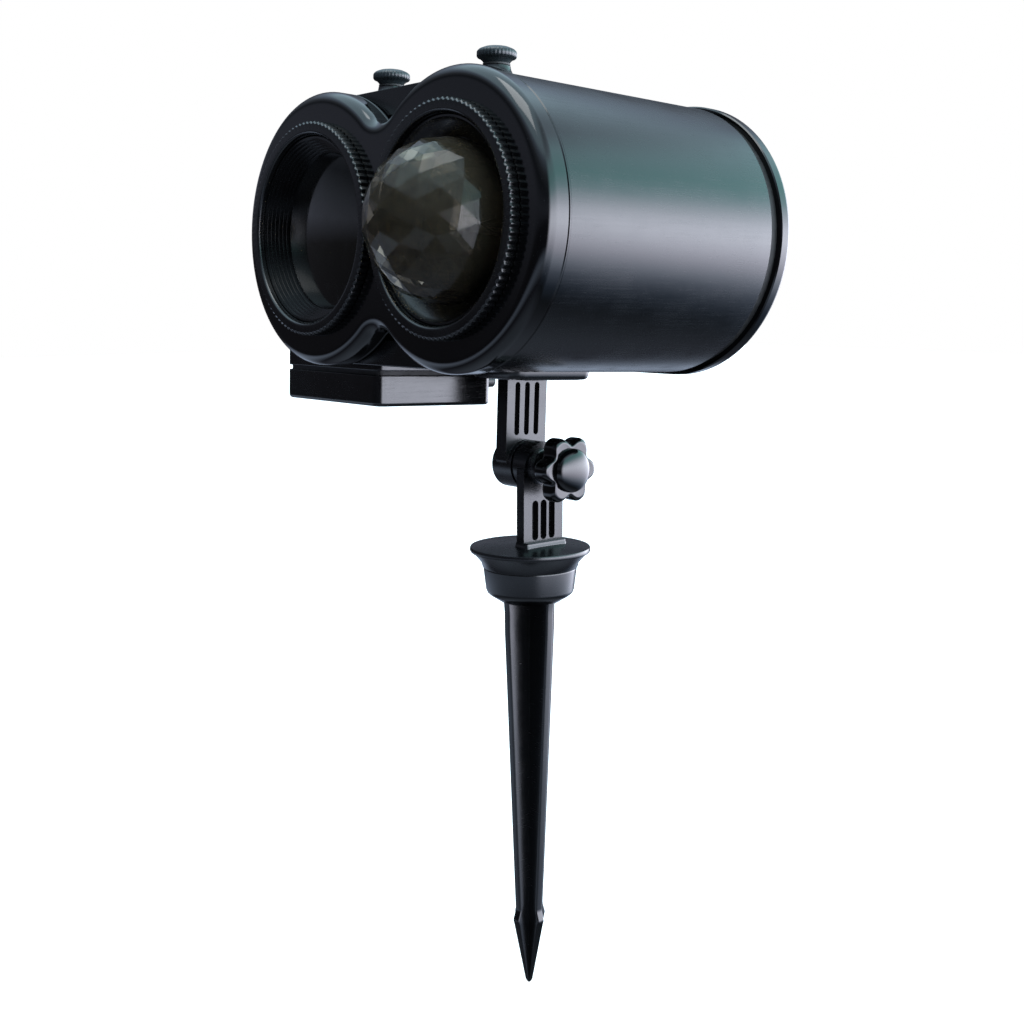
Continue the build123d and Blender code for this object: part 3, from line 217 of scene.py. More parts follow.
# -------------------------------- mesh building
def piece_of(name, bm):
    """Object with a bmesh's faces, all normals outward."""
    bmesh.ops.recalc_face_normals(bm, faces=bm.faces)
    mesh = bpy.data.meshes.new(name)
    bm.to_mesh(mesh)
    bm.free()
    piece = bpy.data.objects.new(name, mesh)
    SCENE.collection.objects.link(piece)
    return piece


def new_piece(name, vertices, faces):
    """Mesh object with merged points."""
    bm = bmesh.new()
    points = [bm.verts.new(vertex) for vertex in vertices]
    for face in faces:
        bm.faces.new([points[index] for index in face])
    bmesh.ops.remove_doubles(bm, verts=bm.verts, dist=1e-6)
    return piece_of(name, bm)


def sweep(name, outline, stations, place, closed=False):
    """Skin an outline through (size, level) stations; closed joins last to first, else ends are capped."""
    rings = [[place @ Vector((x, y, level)) for x, y in outline(size)] for size, level in stations]
    count = len(rings[0])
    faces = []
    for lower in range(len(rings) if closed else len(rings) - 1):
        first, second = lower * count, (lower + 1) % len(rings) * count
        for step in range(count):
            ahead = (step + 1) % count
            faces.append([first + step, first + ahead, second + ahead, second + step])
    vertices = [point for ring in rings for point in ring]
    if not closed:
        faces.append(list(range(count)))
        faces.append(list(range(len(vertices) - count, len(vertices))))
    return new_piece(name, vertices, faces)


def lathe(name, stations, place, closed=False, count=128):
    """Turned piece: (radius, level) stations about the local z axis; radius 0 is a point on the axis."""
    vertices = []
    rings = []
    for radius, level in stations:
        ring = [(0.0, 0.0)] if radius <= 0 else circle(count)(radius)
        rings.append(range(len(vertices), len(vertices) + len(ring)))
        vertices += [place @ Vector((x, y, level)) for x, y in ring]
    faces = []
    for lower in range(len(rings) if closed else len(rings) - 1):
        first, second = rings[lower], rings[(lower + 1) % len(rings)]
        for step in range(count):
            ahead = (step + 1) % count
            corners = [
                first[step % len(first)], first[ahead % len(first)],
                second[ahead % len(second)], second[step % len(second)],
            ]
            corners = list(dict.fromkeys(corners))
            if len(corners) > 2:
                faces.append(corners)
    if not closed:
        faces += [list(ring) for ring in (rings[0], rings[-1]) if len(ring) > 1]
    return new_piece(name, vertices, faces)


def prism(name, outline, low, high, place):
    """Flat outline given thickness between two levels."""
    return sweep(name, lambda size: outline, [(0, low), (0, high)], place)


def bake(piece):
    """Turn a piece's modifiers into its mesh."""
    graph = bpy.context.evaluated_depsgraph_get()
    mesh = bpy.data.meshes.new_from_object(piece.evaluated_get(graph))
    piece.modifiers.clear()
    piece.data = mesh
    return piece


def combine(piece, tools, operation):
    """Exact boolean of a piece with tool pieces, which are used up."""
    for tool in tools:
        change = piece.modifiers.new(operation, "BOOLEAN")
        change.operation = operation
        change.solver = "EXACT"
        change.object = tool
        bake(piece)
        bpy.data.objects.remove(tool)
    return piece


def cut(piece, *tools):
    """Take tool pieces away from a piece."""
    return combine(piece, tools, "DIFFERENCE")


def join(piece, *tools):
    """Add tool pieces to a piece."""
    return combine(piece, tools, "UNION")


def drill(piece, radius, low, high, place, count=32):
    """Straight round hole between two levels of a place."""
    return cut(piece, lathe("drill", [(radius, low), (radius, high)], place, count=count))


def soften(piece, width, steps=2, angle=40):
    """Round off the edges that are sharper than the angle."""
    rounding = piece.modifiers.new("rounding", "BEVEL")
    rounding.width = width * MM
    rounding.segments = steps
    rounding.limit_method = "ANGLE"
    rounding.angle_limit = radians(angle)
    return bake(piece)


def smooth(piece, angle):
    """Smooth shading, with sharper edges kept crisp and large flats kept flat."""
    mesh = piece.data
    mesh.polygons.foreach_set("use_smooth", [True] * len(mesh.polygons))
    mesh.set_sharp_from_angle(angle=radians(angle))
    even = piece.modifiers.new("even_normals", "WEIGHTED_NORMAL")
    even.keep_sharp = True
    even.weight = 80


def finish_piece(piece, body, slot, node, angle=35):
    """Shade a piece, dress it, and put it on its CAD body in place of its CAD node."""
    smooth(piece, angle)
    piece.data.materials.clear()
    piece.data.materials.append(FINISHES[slot])
    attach(piece, body)
    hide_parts(node)


# -------------------------------- finishes
class Nodes:
    """A node tree under construction."""

    def __init__(self, tree):
        self.tree = tree
        tree.nodes.clear()

    def node(self, kind, settings=None, **inputs):
        """Add a shader node; an input is a value or another node's output."""
        made = self.tree.nodes.new("ShaderNode" + kind)
        for key, value in (settings or {}).items():
            setattr(made, key, value)
        self.feed_all(made, inputs)
        return made

    def feed(self, socket, value):
        """Link another node's output to a socket, or set its value."""
        if isinstance(value, bpy.types.NodeSocket):
            self.tree.links.new(value, socket)
        else:
            socket.default_value = value

    def feed_all(self, node, inputs):
        """Feed inputs given by their names, with _ for each space."""
        for key, value in inputs.items():
            self.feed(node.inputs[key.replace("_", " ")], value)

    def spread(self, value, low, high, start=0.0, end=1.0):
        """Map start..end of a value to low..high, held beyond."""
        return self.node(
            "MapRange", Value=value, From_Min=start, From_Max=end, To_Min=low, To_Max=high,
        ).outputs[0]

    def blend(self, share, first, second):
        """Colour between two others."""
        mixer = self.node("Mix", {"data_type": "RGBA"})
        self.feed(mixer.inputs[0], share)
        for socket, colour in ((mixer.inputs[6], first), (mixer.inputs[7], second)):
            self.feed(socket, colour if isinstance(colour, bpy.types.NodeSocket) else (*colour, 1))
        return mixer.outputs[2]

    def dot(self, first, second):
        """Dot product of two vectors."""
        made = self.node("VectorMath", {"operation": "DOT_PRODUCT"})
        self.feed(made.inputs[0], first)
        self.feed(made.inputs[1], second)
        return made.outputs["Value"]

    def to_camera(self, seen, other):
        """One shader for the camera's own rays and another for all the rest."""
        made = self.node("MixShader")
        self.feed(made.inputs[0], self.node("LightPath").outputs["Is Camera Ray"])
        self.feed(made.inputs[1], other.outputs[0])
        self.feed(made.inputs[2], seen.outputs[0])
        return made.outputs[0]


class Finish(Nodes):
    """One node-built material round a Principled shader."""

    def __init__(self, name, **inputs):
        self.material = bpy.data.materials.new(name)
        self.material.use_nodes = True
        super().__init__(self.material.node_tree)
        self.shader = self.node("BsdfPrincipled", **inputs)
        self.output = self.node("OutputMaterial", Surface=self.shader.outputs[0])
        self.place = self.node("TexCoord").outputs["Object"]

    def surface(self, **inputs):
        """Feed the shader."""
        self.feed_all(self.shader, inputs)

    def noise(self, size, detail=3.0, stretch=(1, 1, 1)):
        """Cloudy pattern whose blobs are about size millimetres wide."""
        scale = [1 / axis for axis in stretch]
        stretched = self.node("Mapping", Vector=self.place, Scale=scale).outputs[0]
        return self.node(
            "TexNoise", Vector=stretched, Scale=1 / (size * MM), Detail=detail, Roughness=0.55,
        ).outputs[0]

    def cells(self, size, feature="F1"):
        """Distance to scattered points about size millimetres apart."""
        return self.node(
            "TexVoronoi", {"feature": feature}, Vector=self.place, Scale=1 / (size * MM),
        ).outputs[0]

    def total(self, first, second, operation="ADD"):
        """Sum of two values, or another operation on them."""
        made = self.node("Math", {"operation": operation})
        self.feed(made.inputs[0], first)
        self.feed(made.inputs[1], second)
        return made.outputs[0]

    def relief(self, height, depth):
        """Bump of about depth millimetres, on top of any relief already there."""
        normal = self.shader.inputs["Normal"]
        made = self.node("Bump", Height=height, Distance=depth * MM)
        if normal.is_linked:
            self.feed(made.inputs["Normal"], normal.links[0].from_socket)
        self.feed(normal, made.outputs[0])

    def edges(self, radius):
        """1 on edges tighter than the radius in millimetres, 0 on flats."""
        soft = self.node("Bevel", {"samples": 4}, Radius=radius * MM).outputs[0]
        hard = self.node("NewGeometry").outputs["Normal"]
        return self.spread(self.dot(soft, hard), 1.0, 0.0, 0.86, 0.99)


DUST = (0.16, 0.165, 0.17)
WORN_AND_HIGHLIT_EDGE = (0.05, 0.052, 0.056)  # black plastic lighter on its edges: partly rubbed wear, partly a painted highlight


def scaled(colour, times, lift=0.0):
    """A colour made brighter or darker."""
    return [part * times + lift for part in colour]


def plastic(name, colour, rough, grain=0.0, grain_size=0.3, streak=None, dust=0.12, edge_wear_and_highlight=0.25):
    """Moulded plastic: flow clouding, fine scratches, dust, edges lightened partly as rubbed wear and partly as a
    painted highlight, optional grain and streaks.
    """
    made = Finish(name, IOR=1.5)
    clouds = made.noise(14, detail=4)
    scratches = made.spread(made.noise(0.5, stretch=(9, 9, 0.7), detail=2), 0, 1, 0.60, 0.72)
    specks = made.spread(made.cells(1.7), 1, 0, 0.03, 0.10)
    body = made.blend(clouds, colour, scaled(colour, 1.6))
    body = made.blend(made.spread(specks, 0, dust), body, DUST)
    # painted highlight: edges turn a paler black, partly as rubbed wear and partly as a painted highlight along
    # them
    edge_wear_and_highlight_mask = made.total(made.edges(0.5), made.spread(made.noise(3), 0, edge_wear_and_highlight, 0.35, 0.7), "MULTIPLY")
    body = made.blend(edge_wear_and_highlight_mask, body, WORN_AND_HIGHLIT_EDGE)
    roughness = made.spread(clouds, rough * 0.8, rough * 1.25, 0.25, 0.75)
    roughness = made.total(roughness, made.total(scratches, 0.05, "MULTIPLY"))
    if streak:
        lines = made.noise(0.6, stretch=streak, detail=3)
        roughness = made.total(roughness, made.spread(lines, -0.03, 0.05, 0.3, 0.7))
        made.relief(lines, 0.003)
    made.relief(scratches, 0.002)
    if grain:
        made.relief(made.noise(grain_size, detail=2), grain)
    made.surface(Base_Color=body, Roughness=roughness)
    return name, made.material


def metal(name, colour, rough, stretch=(1, 1, 1), tarnish=(0.30, 0.29, 0.27)):
    """Plated or machined metal with tool marks and slight tarnish."""
    made = Finish(name, Metallic=1.0)
    marks = made.noise(0.25, stretch=stretch, detail=3)
    stains = made.spread(made.noise(2.5, detail=4), 0, 0.45, 0.5, 0.8)
    made.surface(
        Base_Color=made.blend(stains, colour, tarnish),
        Roughness=made.spread(marks, rough * 0.7, rough * 1.4, 0.3, 0.7),
    )
    made.relief(marks, 0.01)
    return name, made.material


def rubber(name, colour):
    """Dull elastomer with a powdery bloom and a fine matt skin."""
    made = Finish(name)
    bloom = made.spread(made.noise(4, detail=5), 0, 0.5, 0.45, 0.75)
    made.surface(
        Base_Color=made.blend(bloom, colour, scaled(colour, 2.2, 0.01)),
        Roughness=made.spread(bloom, 0.6, 0.85),
    )
    made.relief(made.noise(0.2, detail=2), 0.012)
    return name, made.material


def clear(name, colour, haze=0.12, milk=0.0, bend=1.49):
    """Clear plastic or glass with a tint, faint haze, dust specks and fine wiping marks."""
    made = Finish(name, IOR=bend)
    polish = 0.02
    film = made.noise(9, detail=4)
    wiped = made.spread(made.noise(0.7, stretch=(6, 6, 1)), 0, 1, 0.62, 0.75)
    specks = made.spread(made.cells(2.2), 1, 0, 0.02, 0.06)
    hazed = made.spread(film, polish, polish + haze * 0.5, 0.4, 0.8)
    made.surface(
        Base_Color=made.blend(film, colour, scaled(colour, 0.8)),
        Roughness=made.total(hazed, made.total(wiped, 0.03, "MULTIPLY")),
        Transmission_Weight=made.spread(specks, 1.0 - milk, 0.5),
    )
    return name, made.material


def laminate(name):
    """Green solder mask over faint copper tracks."""
    made = Finish(name)
    tracks = made.spread(made.cells(2.4, "DISTANCE_TO_EDGE"), 1, 0, 0.05, 0.09)
    made.surface(
        Base_Color=made.blend(tracks, (0.008, 0.10, 0.035), (0.03, 0.20, 0.07)),
        Roughness=made.spread(made.noise(1.5), 0.25, 0.45),
    )
    made.relief(tracks, 0.03)
    return name, made.material


def ceramic(name, colour):
    """Fired or moulded light body with a mottled surface."""
    made = Finish(name)
    mottle = made.noise(0.8, detail=5)
    made.surface(
        Base_Color=made.blend(mottle, colour, scaled(colour, 0.82)),
        Roughness=made.spread(mottle, 0.4, 0.6),
    )
    made.relief(mottle, 0.01)
    return name, made.material


def lens_glass(name):
    """Dark olive coated glass: deep tint underneath, clear glossy film on top."""
    made = Finish(name, IOR=1.5, Coat_Weight=0.4, Coat_Roughness=0.03, Transmission_Weight=0.25)
    facing_away = made.node("LayerWeight", Blend=0.4).outputs["Facing"]
    film = made.noise(16, detail=3)
    deep = made.blend(film, (0.0045, 0.0045, 0.0020), (0.0090, 0.0078, 0.0035))
    made.surface(
        Base_Color=made.blend(facing_away, deep, (0.0035, 0.0030, 0.0045)),
        Roughness=made.spread(made.noise(5, detail=4), 0.06, 0.22, 0.4, 0.75),
    )
    return name, made.material


DRAWN = (1, 40, 1)  # streaks along the length of the head
FINISHES = dict([
    plastic("gloss_black", (0.0009, 0.0009, 0.0011), 0.12),
    plastic("housing_black", (0.0016, 0.0018, 0.0022), 0.22, streak=DRAWN),
    plastic("ring_black", (0.0012, 0.0012, 0.0014), 0.24, grain=0.004),
    plastic("arm_black", (0.0020, 0.0020, 0.0026), 0.26, grain=0.006, edge_wear_and_highlight=0.4),
    plastic("spike_black", (0.0010, 0.0010, 0.0012), 0.22, grain=0.006, grain_size=0.5, dust=0.15),
    plastic("cap_slate", (0.008, 0.012, 0.014), 0.36, grain=0.006),
    plastic("inner_black", (0.012, 0.012, 0.012), 0.55, grain=0.01),
    plastic("component_dark", (0.02, 0.02, 0.024), 0.45, grain=0.008),
    plastic("plug", (0.010, 0.010, 0.010), 0.45, grain=0.01),
    rubber("rubber", (0.008, 0.008, 0.008)),
    rubber("cable", (0.010, 0.010, 0.011)),
    metal("steel", (0.50, 0.50, 0.51), 0.30, stretch=(8, 1, 1)),
    metal("motor_can", (0.55, 0.55, 0.56), 0.22, stretch=(1, 12, 1)),
    metal("brass", (0.62, 0.42, 0.16), 0.25, tarnish=(0.28, 0.18, 0.07)),
    metal("aluminium", (0.72, 0.73, 0.75), 0.35, stretch=(1, 20, 1), tarnish=(0.50, 0.51, 0.52)),
    laminate("board_green"),
    ceramic("led_white", (0.78, 0.78, 0.72)),
    clear("dome_clear", (0.44, 0.38, 0.27), haze=0.05, milk=0.04, bend=1.26),
    clear("optic_clear", (0.80, 0.84, 0.86)),
    clear("slide_glass", (0.25, 0.32, 0.55)),
    lens_glass("lens_glass"),
])

for part in frame["record"]["subparts"]:
    cad_node = frame["nodes"][part["node"]]
    cad_node.data.materials.clear()
    cad_node.data.materials.append(FINISHES[part["material_slot"]])

# -------------------------------- depths and sizes that pieces share
WALL = 2.5  # moulded walls
PLATE = 3.0  # front plate of the front cover
RUNNING_GAP = 0.05  # radial, shafts and bolts in their holes
PARTING_GAP = 0.1  # radial, covers and sleeves that slide together
CONTACT_FIT = 0.02  # radial, pieces pressed or glued together
SCREW_CORE = 1.5  # radius of the self-tapping screws
BOLT_RADIUS = 3.0
STUD_RADIUS = 2.0  # of the thumb screws
SIDES = ("left", "right")

FRONT_COVER = head_box("front_cover")
HOUSING = head_box("main_housing")
COVER_FRONT = FRONT_COVER[0].y
COVER_REAR = head_box("front_gasket")[0].y
SPIGOT_REAR = FRONT_COVER[1].y
NOSE = head_box("front_gasket")[1].y  # front edge of the housing
HOUSING_REAR = HOUSING[1].y
BARREL_RADIUS = HOUSING[1].x - RIGHT
CAVITY_RADIUS = BARREL_RADIUS - WALL
SPIGOT_RADIUS = BARREL_RADIUS - 3.7  # sleeve of the front cover, inside the housing
SLEEVE_RADIUS = 36.8  # of both knurled rings, inside the front cover
POST_REACH = 30.6  # cover screws, out and up from each lens axis
COVER_SCREWS = four_corners(FACING, RIGHT + POST_REACH, POST_REACH)

LENS_EDGE = -71.1  # depth where the pattern lens leaves its cell
DOME_RADIUS = COVER_FRONT - head_box("wave_dome")[0].y
FOOT_THICKNESS = 2.0  # flange round the foot of the dome

BOX_CORNER = 4.0  # of the control box and the skirt above it
BOX_WALL = 2.4
CABLE = head_box("power_cable")
CABLE_RADIUS = (CABLE[1].x - CABLE[0].x) / 2
CABLE_HEIGHT = (CABLE[0].z + CABLE[1].z) / 2 - LENS_HEIGHT
CABLE_LINE = shifted(FACING, x=(CABLE[0].x + CABLE[1].x) / 2, y=CABLE_HEIGHT)
GLAND_NECK = 3.4


# -------------------------------- head
def front_cover():
    """Glossy two-lobed cap with a round nose, a grooved rear edge and two tunnels for the rings."""
    bend = 5.0
    groove = COVER_RADIUS - 0.35
    inner = COVER_FRONT + PLATE
    profile = [(COVER_RADIUS - bend - 0.5, COVER_FRONT)]
    profile += arc((COVER_RADIUS - bend, COVER_FRONT + bend), bend, -pi / 2, 0, 12)
    profile += [(COVER_RADIUS, COVER_REAR - 1.5), (groove, COVER_REAR - 1.2), (groove, COVER_REAR - 0.9)]
    profile += [(COVER_RADIUS, COVER_REAR - 0.6), (COVER_RADIUS, COVER_REAR - 0.2)]
    profile += [(COVER_RADIUS - 0.2, COVER_REAR)]
    piece = sweep("front_cover_cap", peanut, profile, FACING)
    hollow = [(COVER_RADIUS - WALL, inner), (COVER_RADIUS - WALL, COVER_REAR + 1)]
    cut(piece, sweep("hollow", peanut, hollow, FACING))
    spigot = [(SPIGOT_RADIUS, inner - 0.5), (SPIGOT_RADIUS, SPIGOT_REAR - 0.5)]
    spigot += [(SPIGOT_RADIUS - 0.5, SPIGOT_REAR), (SPIGOT_RADIUS - 2, SPIGOT_REAR)]
    spigot += [(SPIGOT_RADIUS - 2, inner - 0.5)]
    join(piece, sweep("spigot", peanut, spigot, FACING, closed=True))
    tunnel_rear = head_box("focus_ring")[1].y
    for x in (LEFT, RIGHT):
        place = shifted(FACING, x=x)
        tunnel = [(SLEEVE_RADIUS + WALL, inner - 0.5), (SLEEVE_RADIUS + WALL, tunnel_rear)]
        join(piece, lathe("tunnel", tunnel, place))
        drill(piece, SLEEVE_RADIUS + PARTING_GAP, COVER_FRONT - 1, tunnel_rear + 1, place, count=128)
    for side in SIDES:
        stud = f"{side}_thumb_stud"
        grip = 5.5  # length of the stud inside its lug
        top = head_box(stud)[0].z - LENS_HEIGHT + grip
        lug = rounded_rectangle(9, 8.5, 0.8, 3)()
        join(piece, prism("lug", lug, top - 7, top, shifted(deck_over(stud), y=-0.25)))
        drill(piece, STUD_RADIUS + RUNNING_GAP, top - 9, top + 12, deck_over(stud))
    finish_piece(piece, "head", "gloss_black", "front_cover", angle=28)


def main_housing():
    """Oval barrel with a flat web, a skirt over the control box, flared bosses and inner posts."""
    edge = 0.6
    length = HOUSING_REAR - NOSE
    shell = [(BARREL_RADIUS - edge, NOSE), (BARREL_RADIUS - 0.2, NOSE + 0.2)]
    shell += [(BARREL_RADIUS, NOSE + edge)]
    shell += [(BARREL_RADIUS, NOSE + length * step / 8) for step in range(1, 8)]
    shell += [(BARREL_RADIUS, HOUSING_REAR - edge), (BARREL_RADIUS - 0.2, HOUSING_REAR - 0.2)]
    shell += [(BARREL_RADIUS - edge, HOUSING_REAR), (CAVITY_RADIUS, HOUSING_REAR)]
    shell += [(CAVITY_RADIUS, NOSE + WALL), (SPIGOT_RADIUS - 6, NOSE + WALL), (SPIGOT_RADIUS - 6, NOSE)]
    piece = sweep("main_housing_barrel", stadium, shell, FACING, closed=True)
    low, high = head_box("control_box")
    outline = rounded_rectangle(high.x - low.x, high.y - low.y, BOX_CORNER)
    under = deck_over("control_box")
    bottom = HOUSING[0].z - LENS_HEIGHT
    top = -16.0
    rim = [(-0.5, bottom), (-0.15, bottom + 0.15), (0, bottom + 0.5), (0, top)]
    join(piece, sweep("skirt", outline, rim, under))
    cut(piece, sweep("skirt_hollow", outline, [(-BOX_WALL, bottom - 1), (-BOX_WALL, top - 1)], under))
    for side in SIDES:
        seal = f"{side}_thumb_seal"
        seat = head_box(seal)[0].z - LENS_HEIGHT
        flare = [(6.9, BARREL_RADIUS - 2.2), (6.6, BARREL_RADIUS - 0.3), (5.6, BARREL_RADIUS + 0.6)]
        flare += [(5.1, BARREL_RADIUS + 1.6), (4.9, seat - 0.3), (4.6, seat)]
        join(piece, lathe("boss", flare, deck_over(seal), count=64))
        drill(piece, STUD_RADIUS + PARTING_GAP, seat + 1, seat - 9, deck_over(seal))
    cavity = [(CAVITY_RADIUS, HOUSING_REAR + 1), (CAVITY_RADIUS, NOSE + WALL)]
    cut(piece, sweep("cavity", stadium, cavity, FACING))
    mouth = [(SPIGOT_RADIUS + PARTING_GAP, NOSE - 1), (SPIGOT_RADIUS + PARTING_GAP, NOSE + WALL + 1)]
    cut(piece, sweep("mouth", peanut, mouth, FACING))
    post_front = head_box("optics_chassis")[1].y
    post_rear = REAR_COVER[0].y - PARTING_GAP
    bore = SCREW_CORE + RUNNING_GAP
    post = [(5.6, post_front), (5.6, post_rear), (bore, post_rear), (bore, post_front)]
    for place in COVER_SCREWS:
        join(piece, lathe("post", post, place, closed=True, count=32))
    finish_piece(piece, "head", "housing_black", "main_housing", angle=30)


def rear_cover():
    """Rounded lid with a raised rim, a shallow field and sunk screws."""
    front = head_box("rear_gasket")[1].y
    inside, rear = REAR_COVER[0].y, REAR_COVER[1].y
    bend = 1.8
    profile = [(COVER_RADIUS - 0.5, front), (COVER_RADIUS, front + 0.4)]
    profile += arc((COVER_RADIUS - bend, rear - bend), bend, 0, pi / 2, 8)
    field = rear - 0.8
    profile += [(COVER_RADIUS - 4.5, rear), (COVER_RADIUS - 5.2, field), (COVER_RADIUS - 12, field)]
    piece = sweep("rear_cover_lid", stadium, profile, FACING)
    neck = CAVITY_RADIUS - PARTING_GAP
    collar = [(neck - 0.5, inside), (neck, inside + 0.5), (neck, front + 0.1)]
    join(piece, sweep("collar", stadium, collar, FACING))
    hollow = [(neck - WALL, inside - 1), (neck - WALL, rear - 3)]
    cut(piece, sweep("hollow", stadium, hollow, FACING))
    for place in COVER_SCREWS:
        join(piece, lathe("pillar", [(4.8, inside), (4.8, rear - 2.5)], place, count=32))
        drill(piece, 3.2, rear - 2, rear + 1, place)
        drill(piece, SCREW_CORE + CONTACT_FIT, inside - 1, rear + 1, place)
    finish_piece(piece, "head", "gloss_black", "rear_cover", angle=28)


def turning_ring(node, body, x):
    """Knurled grip ring with a bevelled bore and a sleeve that runs in the cover."""
    low, high = head_box(node)
    radius, front, rear = high.x - x, low.y, high.y
    bore = 35.3
    profile = [(bore + 1.5, front), (radius - 1.2, front), (radius - 0.5, front + 0.2)]
    profile += [(radius, front + 0.7), (radius, COVER_FRONT - 0.4), (radius - 0.4, COVER_FRONT)]
    profile += [(SLEEVE_RADIUS, COVER_FRONT), (SLEEVE_RADIUS, rear), (bore, rear)]
    profile += [(bore, front + 1.0), (bore + 1.0, front)]
    knurl = ridged(96, 0.6, radius - 1.3, steps=6, power=0.8)
    piece = sweep(node + "_grip", knurl, profile, shifted(FACING, x=x), closed=True)
    finish_piece(piece, body, "ring_black", node, angle=50)


def lens_dish():
    """Deep black dish with fine light-trap steps round the pattern lens."""
    low, high = head_box("lens_cell")
    radius, front, rear = high.x - LEFT, low.y, high.y
    lens_radius = head_box("projection_lens")[1].x - LEFT
    mouth, lip = radius - 1.0, lens_radius - 1.6
    steps = 7
    profile = [(radius, front + 0.3), (radius - 0.3, front), (mouth, front)]
    for step in range(steps):
        corner, across = (mouth + (lip - mouth) * end / steps for end in (step, step + 1))
        depth = front + (LENS_EDGE - front) * (step + 1) / steps
        profile += [(corner - 0.06, depth - 0.06), (across, depth)]
    seat = lens_radius + CONTACT_FIT
    profile += [(seat, LENS_EDGE), (seat, rear), (radius, rear)]
    piece = lathe("lens_cell_dish", profile, shifted(FACING, x=LEFT), closed=True, count=144)
    finish_piece(piece, "lens_carriage", "ring_black", "lens_cell", angle=25)


def projection_lens():
    """Plano-convex lens with a ground edge."""
    low, high = head_box("projection_lens")
    radius, crown, rear = high.x - LEFT, low.y, high.y
    rise = LENS_EDGE - crown
    curve = (radius ** 2 + rise ** 2) / (2 * rise)
    half_angle = asin((radius - 1.2) / curve)
    turns = [half_angle * step / 24 for step in range(25)]
    profile = [(curve * sin(turn), crown + curve * (1 - cos(turn))) for turn in turns]
    profile += [(radius - 0.4, LENS_EDGE + 0.1), (radius, LENS_EDGE + 0.5), (radius, rear - 0.3)]
    profile += [(radius - 0.3, rear), (0, rear)]
    piece = lathe("projection_lens_glass", profile, shifted(FACING, x=LEFT), count=144)
    finish_piece(piece, "lens_carriage", "lens_glass", "projection_lens", angle=25)


def dome_dish():
    """Dished seat round the foot of the dome."""
    low, high = head_box("dome_seat")
    radius, front, rear = high.x - RIGHT, low.y, high.y
    foot = head_box("wave_dome")[1]
    seat = foot.x - RIGHT + CONTACT_FIT
    foot_front = foot.y - FOOT_THICKNESS
    profile = [(radius, front + 0.3), (radius - 0.3, front), (radius - 1.0, front)]
    profile += [(radius - 2.2, front + 1.9), (DOME_RADIUS + 0.9, foot_front - 1.9)]
    profile += [(DOME_RADIUS + 0.3, foot_front - 1), (DOME_RADIUS + 0.3, foot_front)]
    profile += [(seat, foot_front), (seat, rear), (radius, rear)]
    piece = lathe("dome_seat_dish", profile, shifted(FACING, x=RIGHT), closed=True, count=144)
    finish_piece(piece, "head", "ring_black", "dome_seat", angle=30)


def geodesic(frequency):
    """Corners of an icosahedron with its faces split into smaller triangles, on a unit sphere."""
    bm = bmesh.new()
    bmesh.ops.create_icosphere(bm, subdivisions=1, radius=1.0)
    points = []
    for face in bm.faces:
        a, b, c = (vertex.co.copy() for vertex in face.verts)
        for i in range(frequency + 1):
            for j in range(frequency + 1 - i):
                points.append((a * i + b * j + c * (frequency - i - j)).normalized())
    bm.free()
    return points


def faceted_shell(name, frequency, radius, flat, foot, place):
    """Solid half ball of flat triangles on a straight foot, facing towards lower depths."""
    tilt = Matrix.Rotation(0.35, 3, "X") @ Matrix.Rotation(0.2 * frequency, 3, "Y")
    lowest = 0.06  # of the facet corners, over the flat, in radii
    ball = [tilt @ point for point in geodesic(frequency)]
    corners = [(p.x * radius, p.y * radius, flat - p.z * radius) for p in ball if p.z > lowest]
    corners += [(x, y, level) for level in (flat, foot) for x, y in circle(36)(radius)]
    bm = bmesh.new()
    for corner in corners:
        bm.verts.new(place @ Vector(corner))
    bmesh.ops.remove_doubles(bm, verts=bm.verts, dist=1e-6)
    bmesh.ops.convex_hull(bm, input=bm.verts)
    inner = [vertex for vertex in bm.verts if not vertex.link_faces]
    bmesh.ops.delete(bm, geom=inner, context="VERTS")
    return piece_of(name, bm)


def wave_dome():
    """Clear dome, faceted outside and inside, with a clamped foot."""
    foot = head_box("wave_dome")[1]
    foot_radius = foot.x - RIGHT
    foot_front = foot.y - FOOT_THICKNESS
    place = shifted(FACING, x=RIGHT)
    piece = faceted_shell("wave_dome_facets", 4, DOME_RADIUS, COVER_FRONT, foot.y, place)
    flange = [(DOME_RADIUS - 1.0, foot_front), (foot_radius - 0.3, foot_front)]
    flange += [(foot_radius, foot_front + 0.3), (foot_radius, foot.y), (DOME_RADIUS - 1.0, foot.y)]
    join(piece, lathe("flange", flange, place, closed=True, count=96))
    cut(piece, faceted_shell("hollow", 3, DOME_RADIUS - WALL, COVER_FRONT, foot.y + 1, place))
    soften(piece, 0.18, steps=1, angle=5)
    finish_piece(piece, "head", "dome_clear", "wave_dome", angle=4)


def thumb_screw(side):
    """Fluted, domed cap on its short collar, over the steel stud."""
    node = f"{side}_thumb_cap"
    low, high = head_box(node)
    bottom, top = low.z - LENS_HEIGHT, high.z - LENS_HEIGHT
    radius = (high.x - low.x) / 2
    profile = [(4.4, bottom), (5.0, bottom + 0.9), (radius - 1.1, bottom + 1.6)]
    profile += [(radius - 0.3, bottom + 1.9), (radius, bottom + 2.4), (radius, bottom + 3.7)]
    profile += [(radius - 0.25, bottom + 4.2), (radius - 0.9, bottom + 4.75), (radius - 2.4, bottom + 5.35)]
    profile += [(radius - 4.4, bottom + 5.75), (radius - 5.9, top - 0.06), (0.3, top)]
    flutes = ridged(32, 0.16, radius - 1.4, steps=6, power=1.4)
    piece = sweep(node + "_fluted", flutes, profile, deck_over(node))
    drill(piece, STUD_RADIUS + CONTACT_FIT, bottom - 1, bottom + 4, deck_over(node))
    finish_piece(piece, f"{side}_thumb_screw", "cap_slate", node, angle=40)


# -------------------------------- bracket and stake
EYE_RADIUS = 10.1
ARM_WIDTH = 21.2


